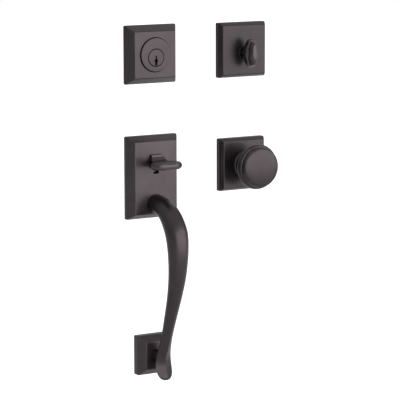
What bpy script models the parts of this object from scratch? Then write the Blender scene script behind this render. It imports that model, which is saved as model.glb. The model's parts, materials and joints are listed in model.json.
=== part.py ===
"""Entry door handleset: exterior deadbolt and grip handle, interior thumb turn and knob.

Metres, +Z up. The door's face is the plane y = 0. What a hand touches stands out of
the door towards -Y, and what goes into the door's bores stands behind it, at +Y.
The exterior trims share the column x = 0 and the interior trims the column
x = INTERIOR_X. z = 0 is the axis of the latch bore. "Out" is a distance from the
door's face towards the viewer, so a point's y is minus its out.
"""
import math

import bmesh
import bpy
from mathutils import Matrix, Vector

# Clearances
GAP = 0.0003
RUN = 0.0004
SCREW_PLAY = 0.0004
CUT_PAST = 0.002

# Layout of the door
INTERIOR_X = 0.126
BORE_SPACING = 0.1397
DOOR_BORE_RADIUS = 0.027

# Casting and stamping
CAST_WALL = 0.0021
PLATE = 0.0018
EDGE_ROUND = 0.0008
CORNER_ROUND = 0.0018
FACE_CORNER = 0.0006
PLATE_MARGIN = 0.0004
PLATE_CORNER = 0.0030
PLATE_ROOT = PLATE / 2

# Exterior deadbolt trim
DEADBOLT_WIDTH = 0.0700
DEADBOLT_EDGE = 0.0026
DEADBOLT_RISE = 0.0150
DEADBOLT_SLOPE = 0.0074
COLLAR_RADIUS = 0.0200
COLLAR_PROUD = 0.0020
COLLAR_EDGE = 0.0006
HOUSING_RADIUS = 0.0170
HOUSING_BEHIND = 0.0100
PLUG_RADIUS = 0.0101
PLUG_DROP = 0.0034
PLUG_PROUD = 0.0003
PLUG_EDGE = 0.0005
PLUG_TAIL_RADIUS = 0.0062
PLUG_TAIL = 0.0040
KEYWAY_DEPTH = 0.0220
KEYWAY_TOP = 0.0022
KEYWAY_SLIT = 0.0015
KEYWAY_BULGE = 0.0044
KEYWAY_BULGE_TOP = -0.0026
KEYWAY_BULGE_LOW = -0.0042
KEYWAY_SHOULDER = 0.0010
KEYWAY_LOWER = 0.0026
KEYWAY_LOW_WALL = 0.0009
CLIP_THICKNESS = 0.0009
CLIP_WIDTH = 0.0035
CLIP_MOUTH = 28
TAILPIECE_WIDTH = 0.0070
TAILPIECE_THICKNESS = 0.0020
TAILPIECE_REACH = 0.0560
BORE_RING_DEPTH = 0.0050
BORE_RING_WALL = 0.0020
DEADBOLT_SCREW_SPACING = 0.0270
CYLINDER_THREAD_DEPTH = 0.0140

# Interior roses
TURN_ROSE_WIDTH = 0.0668
KNOB_ROSE_WIDTH = 0.0645
ROSE_EDGE = 0.0058
ROSE_RISE = 0.0120
ROSE_SLOPE = 0.0035

# Thumb turn
STEM_RADIUS = 0.0048
BUSHING_RADIUS = 0.0080
BUSHING_PROUD = 0.0010
BUSHING_FLANGE = 0.0016
BUSHING_EDGE = 0.0004
STEM_GROOVE = 0.82
TURN_NECK_OUT = 0.0190
TURN_RIM_OUT = 0.0256
TURN_HALF_WIDTH = 0.0086
TURN_HALF_HEIGHT = 0.0174
TURN_BAND = 0.0052
TURN_TAPER = 0.0010
TURN_EASE = 0.0005
TURN_PAD_INSET = 0.0033
TURN_PAD_PROUD = 0.0034
TURN_DOME = 0.0038
TURN_SQUARE = 0.0062
TURN_SQUARE_DEPTH = 0.0060
HUB_RADIUS = 0.0080
HUB_DEPTH = 0.0095

# Screws
SCREW_RADIUS = 0.0020
SCREW_SLOT = 0.0010
SET_SCREW_RADIUS = 0.0020
SET_SCREW_RECESS = 0.0002
SCREW_SLOT_DEPTH = 0.0008
KNOB_SCREW_RADIUS = 0.0016
LIP_WIDTH = 0.0120
LIP_DEPTH = 0.0052
LIP_THICKNESS = 0.0015

# Handle plate
HANDLE_WIDTH = 0.0700
HANDLE_HEIGHT = 0.1000
HANDLE_DROP = 0.0070
HANDLE_EDGE = 0.0044
HANDLE_RISE = 0.0155
HANDLE_SLOPE = 0.0065
SLOT_WIDTH = 0.0075
SLOT_BOTTOM = -0.0024
SLOT_TOP = 0.0180
BACKPLATE_SCREW_UPPER = 0.0290
BACKPLATE_SCREW_LOWER = -0.0215
BACKPLATE_SCREWS = (BACKPLATE_SCREW_UPPER, BACKPLATE_SCREW_LOWER)
BACKPLATE_SCREW_SHORT = 0.0035
BOSS_RADIUS = 0.0045

# Thumb piece
PIVOT_OUT = 0.0090
PIVOT_Z = 0.0055
PIN_RADIUS = 0.0018
TANG_WIDTH = 0.0060
EAR_THICKNESS = 0.0015
EAR_RADIUS = 0.0036
THUMB_STEM_WIDTH = 0.0156
THUMB_STEM_GAP = 0.0010
THUMB_STEM_DEPTH = 0.0026
THUMB_STEM_TOP = 0.0212
THUMB_STEM_LOW = 0.0042
THUMB_STEM_CORNER = 0.0010
THUMB_STEM_HEEL = 0.0014
THUMB_FILLET_DROP = 0.0010
THUMB_FILLET_OUT = 0.0270
THUMB_PAD_OUT = 0.0398
THUMB_PAD_HALF_WIDTH = 0.0195
THUMB_PAD_HALF_DEPTH = 0.0134
THUMB_PAD_LOW = 0.0055
THUMB_PAD_RISE = 0.0017
THUMB_PAD_THICK = 0.0088
THUMB_REACH = THUMB_PAD_OUT + THUMB_PAD_HALF_DEPTH
TANG_TOP = 0.0135
TANG_REAR = -0.0046
TANG_FRONT = 0.0106
TANG_FRONT_TOP = 0.0062
TANG_FRONT_LOW = -0.0012
TANG_SHELF = 0.0030
TANG_SHELF_OUT = 0.0032
TANG_SLOT_LOW = -0.0130
FOOT_LIFT_WIDTH = 0.0035
FOOT_LIFT_HEIGHT = 0.0035
SPRING_RADIUS = 0.0023
SPRING_WIRE = 0.00045
SPRING_TURNS = 5
SPRING_BEHIND = 0.0012
TAB_WIDTH = 0.0080
TAB_Z = 0.0155

# Latch drive behind the handle plate
CUP_DEPTH = 0.0130
CUP_WALL = 0.0015
CUP_BEND = 0.0024
CUP_PLAY = 0.0005
CAM_RADIUS = 0.0140
CAM_THICKNESS = 0.0030
CAM_HUB_RADIUS = 0.0060
CAM_GROOVE = 0.86
CRANK_RADIUS = 0.0110
CRANK_PIN_RADIUS = 0.0022
CRANK_PIN_FRONT = 0.0010
LATCH_BAR = 0.0056
LATCH_BAR_REACH = 0.0500
LATCH_SCREW_SPACING = 0.0400
POST_RADIUS = 0.0035
POST_REACH = 0.0160
POST_THREAD_DEPTH = 0.0130
POST_SPIGOT_RADIUS = 0.0021
HUB_STUB = 0.0012

# Grip and foot
GRIP_ROOT_Z = -0.0385
GRIP_REACH = 0.0664
GRIP_HALF_WIDTH = 0.0136
GRIP_SCREW_RADIUS = 0.0027
GRIP_SCREW_HEAD_RADIUS = 0.0050
GRIP_SCREW_HEAD = 0.0034
GRIP_SCREW_GRIP = 0.0110
HEAD_CHAMFER = 0.0006
GRIP_BOSS_RADIUS = 0.0075
FOOT_WIDTH = 0.0465
FOOT_HEIGHT = 0.0485
FOOT_Z = -0.2233
FOOT_EDGE = 0.0084
FOOT_RISE = 0.0168
FOOT_SLOPE = 0.0076
FOOT_POST_RADIUS = 0.0075
TAIL_RISE = 0.0142
STUD_RADIUS = 0.0030
STUD_BITE = 0.0060
STUD_REACH = 0.0310

# Interior knob
KNOB_RADIUS = 0.0276
KNOB_RIM_OUT = 0.0406
KNOB_RIM_DEPTH = 0.0057
KNOB_RIM_INNER = 0.0250
KNOB_FACE_OUT = 0.0515
KNOB_FACE_RADIUS = 0.0234
KNOB_FACE_EDGE = 0.0007
KNOB_DOME = 0.0033
KNOB_NECK_RADIUS = 0.0118
KNOB_NECK_GAP = 0.0035
SHANK_RADIUS = 0.0100
SHANK_GROOVE = 0.93
SHANK_BORE_DEPTH = 0.0220
KNOB_COLLAR_RADIUS = 0.0172
KNOB_COLLAR_PROUD = 0.0060
KNOB_COLLAR_SPIGOT = 0.0132
KNOB_COLLAR_BACK = 0.0060
KNOB_COLLAR_EASE = 0.0023
KNOB_SCREW_AHEAD = 0.0024
KNOB_SCREW_SUNK = 0.0005
KNOB_SPRING_WIRE = 0.0006
KNOB_SPRING_PLAY = 0.0013
KNOB_SPRING_TURNS = 4
SPINDLE_SQUARE = 0.0076
SPINDLE_REACH = 0.0420

# Facets
ROUND = 32
SMALL_ROUND = 18
PIN_ROUND = 12
CORNER_STEPS = 2
SHARP_ANGLE = math.radians(35)


# Materials

def make_material(name, colour, metallic, roughness):
    material = bpy.data.materials.new(name)
    material.use_nodes = True
    shader = material.node_tree.nodes["Principled BSDF"]
    shader.inputs["Base Color"].default_value = (*colour, 1.0)
    shader.inputs["Metallic"].default_value = metallic
    shader.inputs["Roughness"].default_value = roughness
    return material


def bronze(name):
    """Dark oil-rubbed bronze, as on every piece that shows."""
    return make_material(name + "_bronze", (0.048, 0.038, 0.041), 0.8, 0.42)


def steel(name):
    """Zinc-plated steel, as on the pieces behind the trims."""
    return make_material(name + "_steel", (0.50, 0.50, 0.51), 0.9, 0.38)


# Building blocks

def join_rings(bm, first, second):
    """Faces between two rings of vertices, either of which may be a single point."""
    count = max(len(first), len(second))
    for i in range(count):
        j = (i + 1) % count
        if len(first) == 1:
            bm.faces.new((first[0], second[j], second[i]))
        elif len(second) == 1:
            bm.faces.new((first[i], first[j], second[0]))
        else:
            bm.faces.new((first[i], first[j], second[j], second[i]))


def loft(sections, closed=False):
    """Body through sections of equal point count; an open one has flat ends."""
    bm = bmesh.new()
    rings = [[bm.verts.new(point) for point in section] for section in sections]
    for first, second in zip(rings, rings[1:]):
        join_rings(bm, first, second)
    if closed:
        join_rings(bm, rings[-1], rings[0])
    else:
        for end in (rings[0], rings[-1]):
            if len(end) > 2:
                bm.faces.new(end)
    bmesh.ops.recalc_face_normals(bm, faces=bm.faces)
    return bm


def circle(radius, out, count, x=0.0, z=0.0, turn=0.0):
    angles = [2 * math.pi * (i + turn) / count for i in range(count)]
    return [(x + radius * math.cos(a), -out, z + radius * math.sin(a)) for a in angles]


def turned(profile, count=ROUND, closed=False):
    """Body turned about the Y axis from points of radius and out."""
    sections = []
    for radius, out in profile:
        if radius == 0:
            sections.append([(0.0, -out, 0.0)])
        else:
            sections.append(circle(radius, out, count))
    return loft(sections, closed)


def rod(radius, back, front, count=SMALL_ROUND, x=0.0, z=0.0):
    """Cylinder along Y, turned by half a facet so that its corners miss a turned body's."""
    return loft([circle(radius, out, count, x, z, 0.5) for out in (back, front)])


def ring(inner, outer, back, front, count=ROUND):
    profile = [(outer, front), (outer, back), (inner, back), (inner, front)]
    return turned(profile, count, closed=True)


def block(x_low, x_high, back, front, z_low, z_high):
    bm = bmesh.new()
    bmesh.ops.create_cube(bm, size=1.0)
    size = Vector((x_high - x_low, front - back, z_high - z_low))
    middle = Vector(((x_low + x_high) / 2, -(back + front) / 2, (z_low + z_high) / 2))
    bmesh.ops.transform(bm, matrix=Matrix.LocRotScale(middle, None, size), verts=bm.verts)
    return bm


def side_prism(outline, width):
    """Body with an outline of out and z, straight across X."""
    half = width / 2
    return loft([[(x, -out, z) for out, z in outline] for x in (-half, half)])


def pin_circle(centre, radius):
    """Closed outline of a pin or a pin's hole."""
    step = 360 / PIN_ROUND
    return arc(centre, radius, 0, 360 - step, PIN_ROUND - 1)


def arc(centre, radius, start, end, steps):
    """Points of an arc, in degrees, about a centre in any pair of coordinates."""
    points = []
    for i in range(steps + 1):
        angle = math.radians(start + (end - start) * i / steps)
        points.append((centre[0] + radius * math.cos(angle), centre[1] + radius * math.sin(angle)))
    return points


def rounded_rectangle(width, height, radius, steps=3):
    """Outline in X and Z about the origin."""
    points = []
    for corner, (sx, sz) in enumerate(((1, 1), (-1, 1), (-1, -1), (1, -1))):
        centre = (sx * (width / 2 - radius), sz * (height / 2 - radius))
        points += arc(centre, radius, 90 * corner, 90 * corner + 90, steps)
    return points


def plate_prism(outline, back, front, z=0.0):
    """Body with an outline of x and z, straight through from back to front."""
    return loft([[(px, -out, z + pz) for px, pz in outline] for out in (front, back)])


def helix(radius, rise, turns, steps_per_turn):
    """Points of a helix about the Z axis, from z = 0 to the rise."""
    points = []
    for i in range(turns * steps_per_turn + 1):
        angle = 2 * math.pi * i / steps_per_turn
        height = rise * i / (turns * steps_per_turn)
        points.append(Vector((radius * math.cos(angle), radius * math.sin(angle), height)))
    return points


def wire(path, radius, sides):
    """Round wire along a path, with flat ends."""
    sections = []
    for i, point in enumerate(path):
        ahead = path[min(i + 1, len(path) - 1)]
        behind = path[max(i - 1, 0)]
        along = (ahead - behind).normalized()
        across = along.cross(Vector((0, 0, 1))).normalized()
        up = across.cross(along)
        section = []
        for k in range(sides):
            angle = 2 * math.pi * k / sides
            section.append(point + radius * (across * math.cos(angle) + up * math.sin(angle)))
        sections.append(section)
    return loft(sections)


# Objects

def add_empty(name, place, parent=None):
    empty = bpy.data.objects.new(name, None)
    empty.empty_display_size = 0.01
    empty.location = place
    empty.parent = parent
    bpy.context.scene.collection.objects.link(empty)
    return empty


def add_object(name, bm, parent):
    """New object from a bmesh, placed by its parent empty."""
    mesh = bpy.data.meshes.new(name)
    bm.to_mesh(mesh)
    bm.free()
    obj = bpy.data.objects.new(name, mesh)
    obj.parent = parent
    bpy.context.scene.collection.objects.link(obj)
    return obj


def add_piece(name, bm, parent, material):
    piece = add_object(name, bm, parent)
    piece.data.materials.append(material(name))
    piece.data.shade_smooth()
    piece.data.set_sharp_from_angle(angle=SHARP_ANGLE)
    return piece


def combine(piece, bm, operation):
    """Cuts a closed body from the piece, or joins it on, with a Boolean modifier."""
    tool = add_object(piece.name + "_" + operation.lower(), bm, piece.parent)
    tool.hide_render = True
    tool.display_type = "WIRE"
    modifier = piece.modifiers.new(tool.name, "BOOLEAN")
    modifier.operation = operation
    modifier.solver = "EXACT"
    modifier.object = tool


def cut(piece, bm):
    combine(piece, bm, "DIFFERENCE")


def fuse(piece, bm):
    combine(piece, bm, "UNION")


# Shared pieces

def eased(before, corner, after, reach):
    """Three points that round a profile's corner."""
    middle = Vector(corner)
    start = middle + (Vector(before) - middle).normalized() * reach
    end = middle + (Vector(after) - middle).normalized() * reach
    return [tuple(start), tuple((start + 2 * middle + end) / 4), tuple(end)]


def bevel_shell(width, height, edge, rise, slope):
    """Hollow casting: a straight edge, then four bevels up to a flat front, softly cornered."""
    steep = math.hypot(slope, rise - edge)
    inner_rise = rise - CAST_WALL
    inner_slope = (slope * (inner_rise - edge) + CAST_WALL * steep) / (rise - edge)
    inner_edge = edge - CAST_WALL * (steep - (rise - edge)) / slope
    levels = eased((width, rise), (slope, rise), (0.0, edge), EDGE_ROUND)
    levels += eased((slope, rise), (0.0, edge), (0.0, 0.0), EDGE_ROUND)
    levels += [(0.0, 0.0), (CAST_WALL, 0.0), (CAST_WALL, inner_edge), (inner_slope, inner_rise)]
    sections = []
    for inset, out in levels:
        corner = CORNER_ROUND + (FACE_CORNER - CORNER_ROUND) * min(inset / slope, 1.0)
        outline = rounded_rectangle(width - 2 * inset, height - 2 * inset, corner, CORNER_STEPS)
        sections.append([(x, -out, z) for x, z in outline])
    return loft(sections)


def clip_ring(inner, outer, back, front, steps=12):
    """Open retaining ring, with its mouth downwards."""
    start = CLIP_MOUTH - 90
    end = 270 - CLIP_MOUTH
    outline = arc((0, 0), outer, start, end, steps) + arc((0, 0), inner, end, start, steps)
    return plate_prism(outline, back, front)


def add_interior_plate(name, parent, rose_width, hole_radius, screw_spacing, hole_z=0.0):
    """Mounting plate of an interior rose, with the lip that its set screw bears on."""
    side = rose_width - 2 * CAST_WALL - 2 * PLATE_MARGIN
    outline = rounded_rectangle(side, side, PLATE_CORNER)
    plate = add_piece(name, plate_prism(outline, 0.0, PLATE), parent, steel)
    half = LIP_WIDTH / 2
    low = -side / 2
    lip = block(-half, half, PLATE_ROOT, LIP_DEPTH, low, low + LIP_THICKNESS)
    fuse(plate, lip)
    cut(plate, rod(hole_radius, -CUT_PAST, PLATE + CUT_PAST, z=hole_z))
    for side_sign in (-1, 1):
        x = side_sign * screw_spacing / 2
        cut(plate, rod(SCREW_RADIUS + SCREW_PLAY, -CUT_PAST, PLATE + CUT_PAST, PIN_ROUND, x))
    return plate


def add_rose_set_screw(name, parent, rose_width):
    """Grub screw through the lower wall of an interior rose, up to the plate's lip."""
    low = -rose_width / 2 + SET_SCREW_RECESS
    high = -(rose_width / 2 - CAST_WALL - PLATE_MARGIN) - GAP
    out = ROSE_EDGE / 2 + PLATE / 4
    sections = []
    for z in (low, high):
        loop = pin_circle((0, -out), SET_SCREW_RADIUS)
        sections.append([(x, y, z) for x, y in loop])
    screw = add_piece(name, loft(sections), parent, steel)
    half = SCREW_SLOT / 2
    wide = SET_SCREW_RADIUS + GAP
    cut(screw, block(-wide, wide, out - half, out + half, low - CUT_PAST, low + SCREW_SLOT_DEPTH))
    return screw


def set_screw_hole(low, high):
    """Cutter for the set screw's hole in the rose's lower wall."""
    out = ROSE_EDGE / 2 + PLATE / 4
    sections = []
    for z in (low, high):
        loop = pin_circle((0, -out), SET_SCREW_RADIUS + GAP)
        sections.append([(x, y, z) for x, y in loop])
    return loft(sections)


def add_interior_rose(name, parent, width, hole_radius, hole_z=0.0):
    shell = bevel_shell(width, width, ROSE_EDGE, ROSE_RISE, ROSE_SLOPE)
    rose = add_piece(name, shell, parent, bronze)
    cut(rose, rod(hole_radius, ROSE_RISE - 2 * CAST_WALL, ROSE_RISE + CUT_PAST, ROUND, z=hole_z))
    low = -width / 2
    cut(rose, set_screw_hole(low - CUT_PAST, low + CAST_WALL + CUT_PAST))
    return rose


# Exterior deadbolt

def keyway():
    """Cutter with the keyway's section: a slit, a wider middle and a lower slot."""
    low = -PLUG_RADIUS + KEYWAY_LOW_WALL
    half_slit = KEYWAY_SLIT / 2
    half_bulge = KEYWAY_BULGE / 2
    half_lower = KEYWAY_LOWER / 2
    right = [
        (half_lower, low),
        (half_lower, KEYWAY_BULGE_LOW - KEYWAY_SHOULDER),
        (half_bulge, KEYWAY_BULGE_LOW),
        (half_bulge, KEYWAY_BULGE_TOP),
        (half_slit, KEYWAY_BULGE_TOP + KEYWAY_SHOULDER),
        (half_slit, KEYWAY_TOP),
    ]
    left = [(-x, z) for x, z in reversed(right)]
    outline = right + left
    front = DEADBOLT_RISE + COLLAR_PROUD + PLUG_PROUD
    return plate_prism(outline, front - KEYWAY_DEPTH, front + CUT_PAST)


def build_deadbolt(trim):
    face = DEADBOLT_RISE
    front = face + COLLAR_PROUD
    shell = bevel_shell(DEADBOLT_WIDTH, DEADBOLT_WIDTH, DEADBOLT_EDGE, DEADBOLT_RISE, DEADBOLT_SLOPE)
    rose = add_piece("deadbolt_rose", shell, trim, bronze)
    cut(rose, rod(COLLAR_RADIUS + RUN, face - 2 * CAST_WALL, face + CUT_PAST, ROUND))

    housing_profile = [
        (0, front),
        (COLLAR_RADIUS - COLLAR_EDGE, front),
        (COLLAR_RADIUS, front - COLLAR_EDGE),
        (COLLAR_RADIUS, PLATE + GAP),
        (HOUSING_RADIUS, PLATE + GAP),
        (HOUSING_RADIUS, -HOUSING_BEHIND),
        (0, -HOUSING_BEHIND),
    ]
    housing = add_piece("deadbolt_cylinder", turned(housing_profile), trim, bronze)
    past_back = -HOUSING_BEHIND - CUT_PAST
    cut(housing, rod(PLUG_RADIUS + RUN, past_back, front + CUT_PAST, ROUND, z=-PLUG_DROP))
    thread_end = -HOUSING_BEHIND + CYLINDER_THREAD_DEPTH
    for side in (-1, 1):
        x = side * DEADBOLT_SCREW_SPACING / 2
        cut(housing, rod(SCREW_RADIUS, past_back, thread_end, PIN_ROUND, x))

    half = DEADBOLT_WIDTH / 2 - CAST_WALL - PLATE_MARGIN
    outline = rounded_rectangle(2 * half, 2 * half, PLATE_CORNER)
    plate = add_piece("deadbolt_backplate", plate_prism(outline, 0.0, PLATE), trim, steel)
    ring_outer = DOOR_BORE_RADIUS - CUP_PLAY
    ring_deep = BORE_RING_DEPTH + CUT_PAST
    fuse(plate, rod(ring_outer, -BORE_RING_DEPTH, PLATE_ROOT, ROUND))
    cut(plate, rod(HOUSING_RADIUS + GAP, -ring_deep, PLATE + CUT_PAST, ROUND))
    cut(plate, rod(ring_outer - BORE_RING_WALL, -ring_deep, 0.0, ROUND))

    key = add_empty("key_axis", (0, 0, -PLUG_DROP), trim)
    plug_front = front + PLUG_PROUD
    plug_back = -HOUSING_BEHIND - GAP
    plug_profile = [
        (0, plug_front),
        (PLUG_RADIUS - PLUG_EDGE, plug_front),
        (PLUG_RADIUS, plug_front - PLUG_EDGE),
        (PLUG_RADIUS, plug_back),
        (PLUG_TAIL_RADIUS, plug_back),
        (PLUG_TAIL_RADIUS, plug_back - PLUG_TAIL),
        (0, plug_back - PLUG_TAIL),
    ]
    plug = add_piece("key_plug", turned(plug_profile), key, bronze)
    cut(plug, keyway())
    slot_half = TAILPIECE_THICKNESS / 2 + GAP
    slot_back = plug_back - PLUG_TAIL
    slot_front = plug_back - CLIP_THICKNESS - GAP
    cut(plug, block(-slot_half, slot_half, slot_back - CUT_PAST, slot_front, -PLUG_RADIUS, PLUG_RADIUS))

    clip_front = plug_back - GAP
    clip_back = clip_front - CLIP_THICKNESS
    clip = ring(PLUG_TAIL_RADIUS + GAP, PLUG_RADIUS + CLIP_WIDTH, clip_back, clip_front, SMALL_ROUND)
    add_piece("plug_clip", clip, key, steel)

    bar_front = slot_front - GAP
    thick = TAILPIECE_THICKNESS / 2
    bar = block(-thick, thick, -TAILPIECE_REACH, bar_front, -TAILPIECE_WIDTH / 2, TAILPIECE_WIDTH / 2)
    add_piece("deadbolt_tailpiece", bar, key, steel)


# Interior thumb turn

def ellipse(half_width, half_height, out, count=ROUND):
    angles = [2 * math.pi * i / count for i in range(count)]
    return [(half_width * math.cos(a), -out, half_height * math.sin(a)) for a in angles]


def turn_ring(inset, out):
    """Section of the thumb turn's head, inset from its widest one."""
    return ellipse(TURN_HALF_WIDTH - inset, TURN_HALF_HEIGHT - inset, out)


def turn_sections():
    """Sections of the thumb turn, from the end of its stem to the ridge of its face."""
    groove_back = PLATE + GAP / 2
    groove_front = PLATE + GAP + CLIP_THICKNESS + GAP / 2
    groove = STEM_RADIUS * STEM_GROOVE
    stem = [
        (STEM_RADIUS, -GAP),
        (STEM_RADIUS, groove_back),
        (groove, groove_back),
        (groove, groove_front),
        (STEM_RADIUS, groove_front),
        (STEM_RADIUS, TURN_NECK_OUT),
    ]
    sections = [ellipse(radius, radius, out) for radius, out in stem]
    flare = TURN_RIM_OUT - TURN_NECK_OUT
    steps = 5
    for i in range(1, steps + 1):
        t = i / steps
        grow = math.sin(t * math.pi / 2)
        half_width = STEM_RADIUS + (TURN_HALF_WIDTH - STEM_RADIUS) * grow
        half_height = STEM_RADIUS + (TURN_HALF_HEIGHT - STEM_RADIUS) * grow
        sections.append(ellipse(half_width, half_height, TURN_NECK_OUT + flare * t ** 1.5))
    band_front = TURN_RIM_OUT + TURN_BAND
    sections.append(turn_ring(TURN_TAPER, band_front - TURN_EASE))
    sections.append(turn_ring(TURN_TAPER + TURN_EASE, band_front))
    sections.append(turn_ring(TURN_PAD_INSET, band_front - TURN_EASE))
    pad_edge = band_front + TURN_PAD_PROUD
    sections.append(turn_ring(TURN_PAD_INSET, pad_edge - TURN_EASE))
    pad_width = TURN_HALF_WIDTH - TURN_PAD_INSET - TURN_EASE
    pad_height = TURN_HALF_HEIGHT - TURN_PAD_INSET - TURN_EASE
    for i in range(steps):
        angle = math.pi / 2 * i / steps
        out = pad_edge + TURN_DOME * math.sin(angle)
        sections.append(ellipse(pad_width * math.cos(angle), pad_height * math.cos(angle) ** 0.6, out))
    sections.append([(0.0, -(pad_edge + TURN_DOME), 0.0)])
    return sections


def build_thumb_turn(rose_centre, axis):
    """The turn stands on the key plug's axis, so a little below the middle of its rose."""
    face = ROSE_RISE
    hole = BUSHING_RADIUS - BUSHING_FLANGE
    add_interior_rose("turn_rose", rose_centre, TURN_ROSE_WIDTH, hole + GAP, -PLUG_DROP)

    bushing_profile = [
        (BUSHING_RADIUS - BUSHING_EDGE, face + BUSHING_PROUD),
        (BUSHING_RADIUS, face + BUSHING_PROUD - BUSHING_EDGE),
        (BUSHING_RADIUS, face + GAP),
        (hole, face + GAP),
        (hole, face - CAST_WALL),
        (STEM_RADIUS + RUN, face - CAST_WALL),
        (STEM_RADIUS + RUN, face + BUSHING_PROUD),
    ]
    add_piece("turn_bushing", turned(bushing_profile, closed=True), axis, bronze)

    turn = add_piece("thumb_turn", loft(turn_sections()), axis, bronze)
    half = TURN_SQUARE / 2
    fuse(turn, block(-half, half, -TURN_SQUARE_DEPTH, 0.0, -half, half))

    clip_front = PLATE + GAP + CLIP_THICKNESS
    clip = clip_ring(STEM_RADIUS * STEM_GROOVE + GAP, STEM_RADIUS + CLIP_WIDTH, PLATE + GAP, clip_front)
    add_piece("turn_clip", clip, axis, steel)

    hub_profile = [(0, -GAP * 2), (HUB_RADIUS, -GAP * 2), (HUB_RADIUS, -HUB_DEPTH), (0, -HUB_DEPTH)]
    hub = add_piece("turn_hub", turned(hub_profile, SMALL_ROUND), axis, steel)
    socket = half + GAP
    socket_end = -TURN_SQUARE_DEPTH - GAP
    cut(hub, block(-socket, socket, socket_end, CUT_PAST, -socket, socket))
    slot_x = TAILPIECE_THICKNESS / 2 + RUN
    slot_z = TAILPIECE_WIDTH / 2 + RUN
    cut(hub, block(-slot_x, slot_x, -HUB_DEPTH - CUT_PAST, socket_end + GAP, -slot_z, slot_z))

    stem_hole = STEM_RADIUS + RUN
    spacing = DEADBOLT_SCREW_SPACING
    add_interior_plate("turn_plate", rose_centre, TURN_ROSE_WIDTH, stem_hole, spacing, -PLUG_DROP)
    add_rose_set_screw("turn_set_screw", rose_centre, TURN_ROSE_WIDTH)


# Exterior handle

def build_handle_plate(trim):
    face = HANDLE_RISE
    plate_centre = add_empty("handle_plate_centre", (0, 0, -HANDLE_DROP), trim)
    shell = bevel_shell(HANDLE_WIDTH, HANDLE_HEIGHT, HANDLE_EDGE, HANDLE_RISE, HANDLE_SLOPE)
    plate = add_piece("handle_plate", shell, plate_centre, bronze)
    inside = face - CAST_WALL
    lift = HANDLE_DROP
    half = SLOT_WIDTH / 2
    grip_z = GRIP_ROOT_Z + lift
    past_face = face + CUT_PAST
    cut(plate, block(-half, half, inside - CUT_PAST, past_face, SLOT_BOTTOM + lift, SLOT_TOP + lift))
    boss_back = PLATE + GAP + GRIP_SCREW_HEAD + GAP
    fuse(plate, rod(GRIP_BOSS_RADIUS, boss_back, inside + CAST_WALL / 2, SMALL_ROUND, z=grip_z))
    for z in BACKPLATE_SCREWS:
        fuse(plate, rod(BOSS_RADIUS, PLATE + GAP, inside + CAST_WALL / 2, SMALL_ROUND, z=z + lift))
    screw_hole = GRIP_SCREW_RADIUS + SCREW_PLAY
    cut(plate, rod(screw_hole, boss_back - CUT_PAST, past_face, SMALL_ROUND, z=grip_z))
    for z in BACKPLATE_SCREWS:
        cut(plate, rod(SCREW_RADIUS + GAP, 0.0, inside - CUT_PAST / 2, PIN_ROUND, z=z + lift))


def build_backplate(trim):
    width = HANDLE_WIDTH - 2 * CAST_WALL - 2 * PLATE_MARGIN
    height = HANDLE_HEIGHT - 2 * CAST_WALL - 2 * PLATE_MARGIN
    outline = rounded_rectangle(width, height, PLATE_CORNER)
    back = add_piece("handle_backplate", plate_prism(outline, 0.0, PLATE, -HANDLE_DROP), trim, steel)
    slot_half = TANG_WIDTH / 2 + RUN
    ear_outer = slot_half + EAR_THICKNESS
    for side in (-1, 1):
        inner_x = side * slot_half
        outer_x = side * ear_outer
        ear = arc((PIVOT_OUT, PIVOT_Z), EAR_RADIUS, 90, -90, 10)
        ear += [(PLATE_ROOT, PIVOT_Z - EAR_RADIUS), (PLATE_ROOT, PIVOT_Z + EAR_RADIUS)]
        low, high = sorted((inner_x, outer_x))
        fuse(back, loft([[(x, -out, z) for out, z in ear] for x in (low, high)]))
    tab = TAB_WIDTH / 2
    fuse(back, block(-tab, tab, TANG_REAR, PLATE_ROOT, TAB_Z, TAB_Z + EAR_THICKNESS))
    cut(back, block(-slot_half, slot_half, -CUT_PAST, PLATE + GAP, TANG_SLOT_LOW, TAB_Z))
    pin_hole = pin_circle((PIVOT_OUT, PIVOT_Z), PIN_RADIUS + GAP)
    cut(back, loft([[(x, -out, z) for out, z in pin_hole] for x in (-HANDLE_WIDTH / 4, HANDLE_WIDTH / 4)]))
    for z in BACKPLATE_SCREWS:
        cut(back, rod(SCREW_RADIUS + SCREW_PLAY, -CUT_PAST, PLATE + CUT_PAST, PIN_ROUND, z=z))
    for side in (-1, 1):
        x = side * LATCH_SCREW_SPACING / 2
        cut(back, rod(POST_SPIGOT_RADIUS + GAP, -CUT_PAST, PLATE + CUT_PAST, PIN_ROUND, x))


def pad_low(out):
    """Height of the thumb pad's underside, which rises towards the front."""
    return THUMB_PAD_LOW + THUMB_PAD_RISE * (out - HANDLE_RISE) / (THUMB_REACH - HANDLE_RISE)


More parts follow.
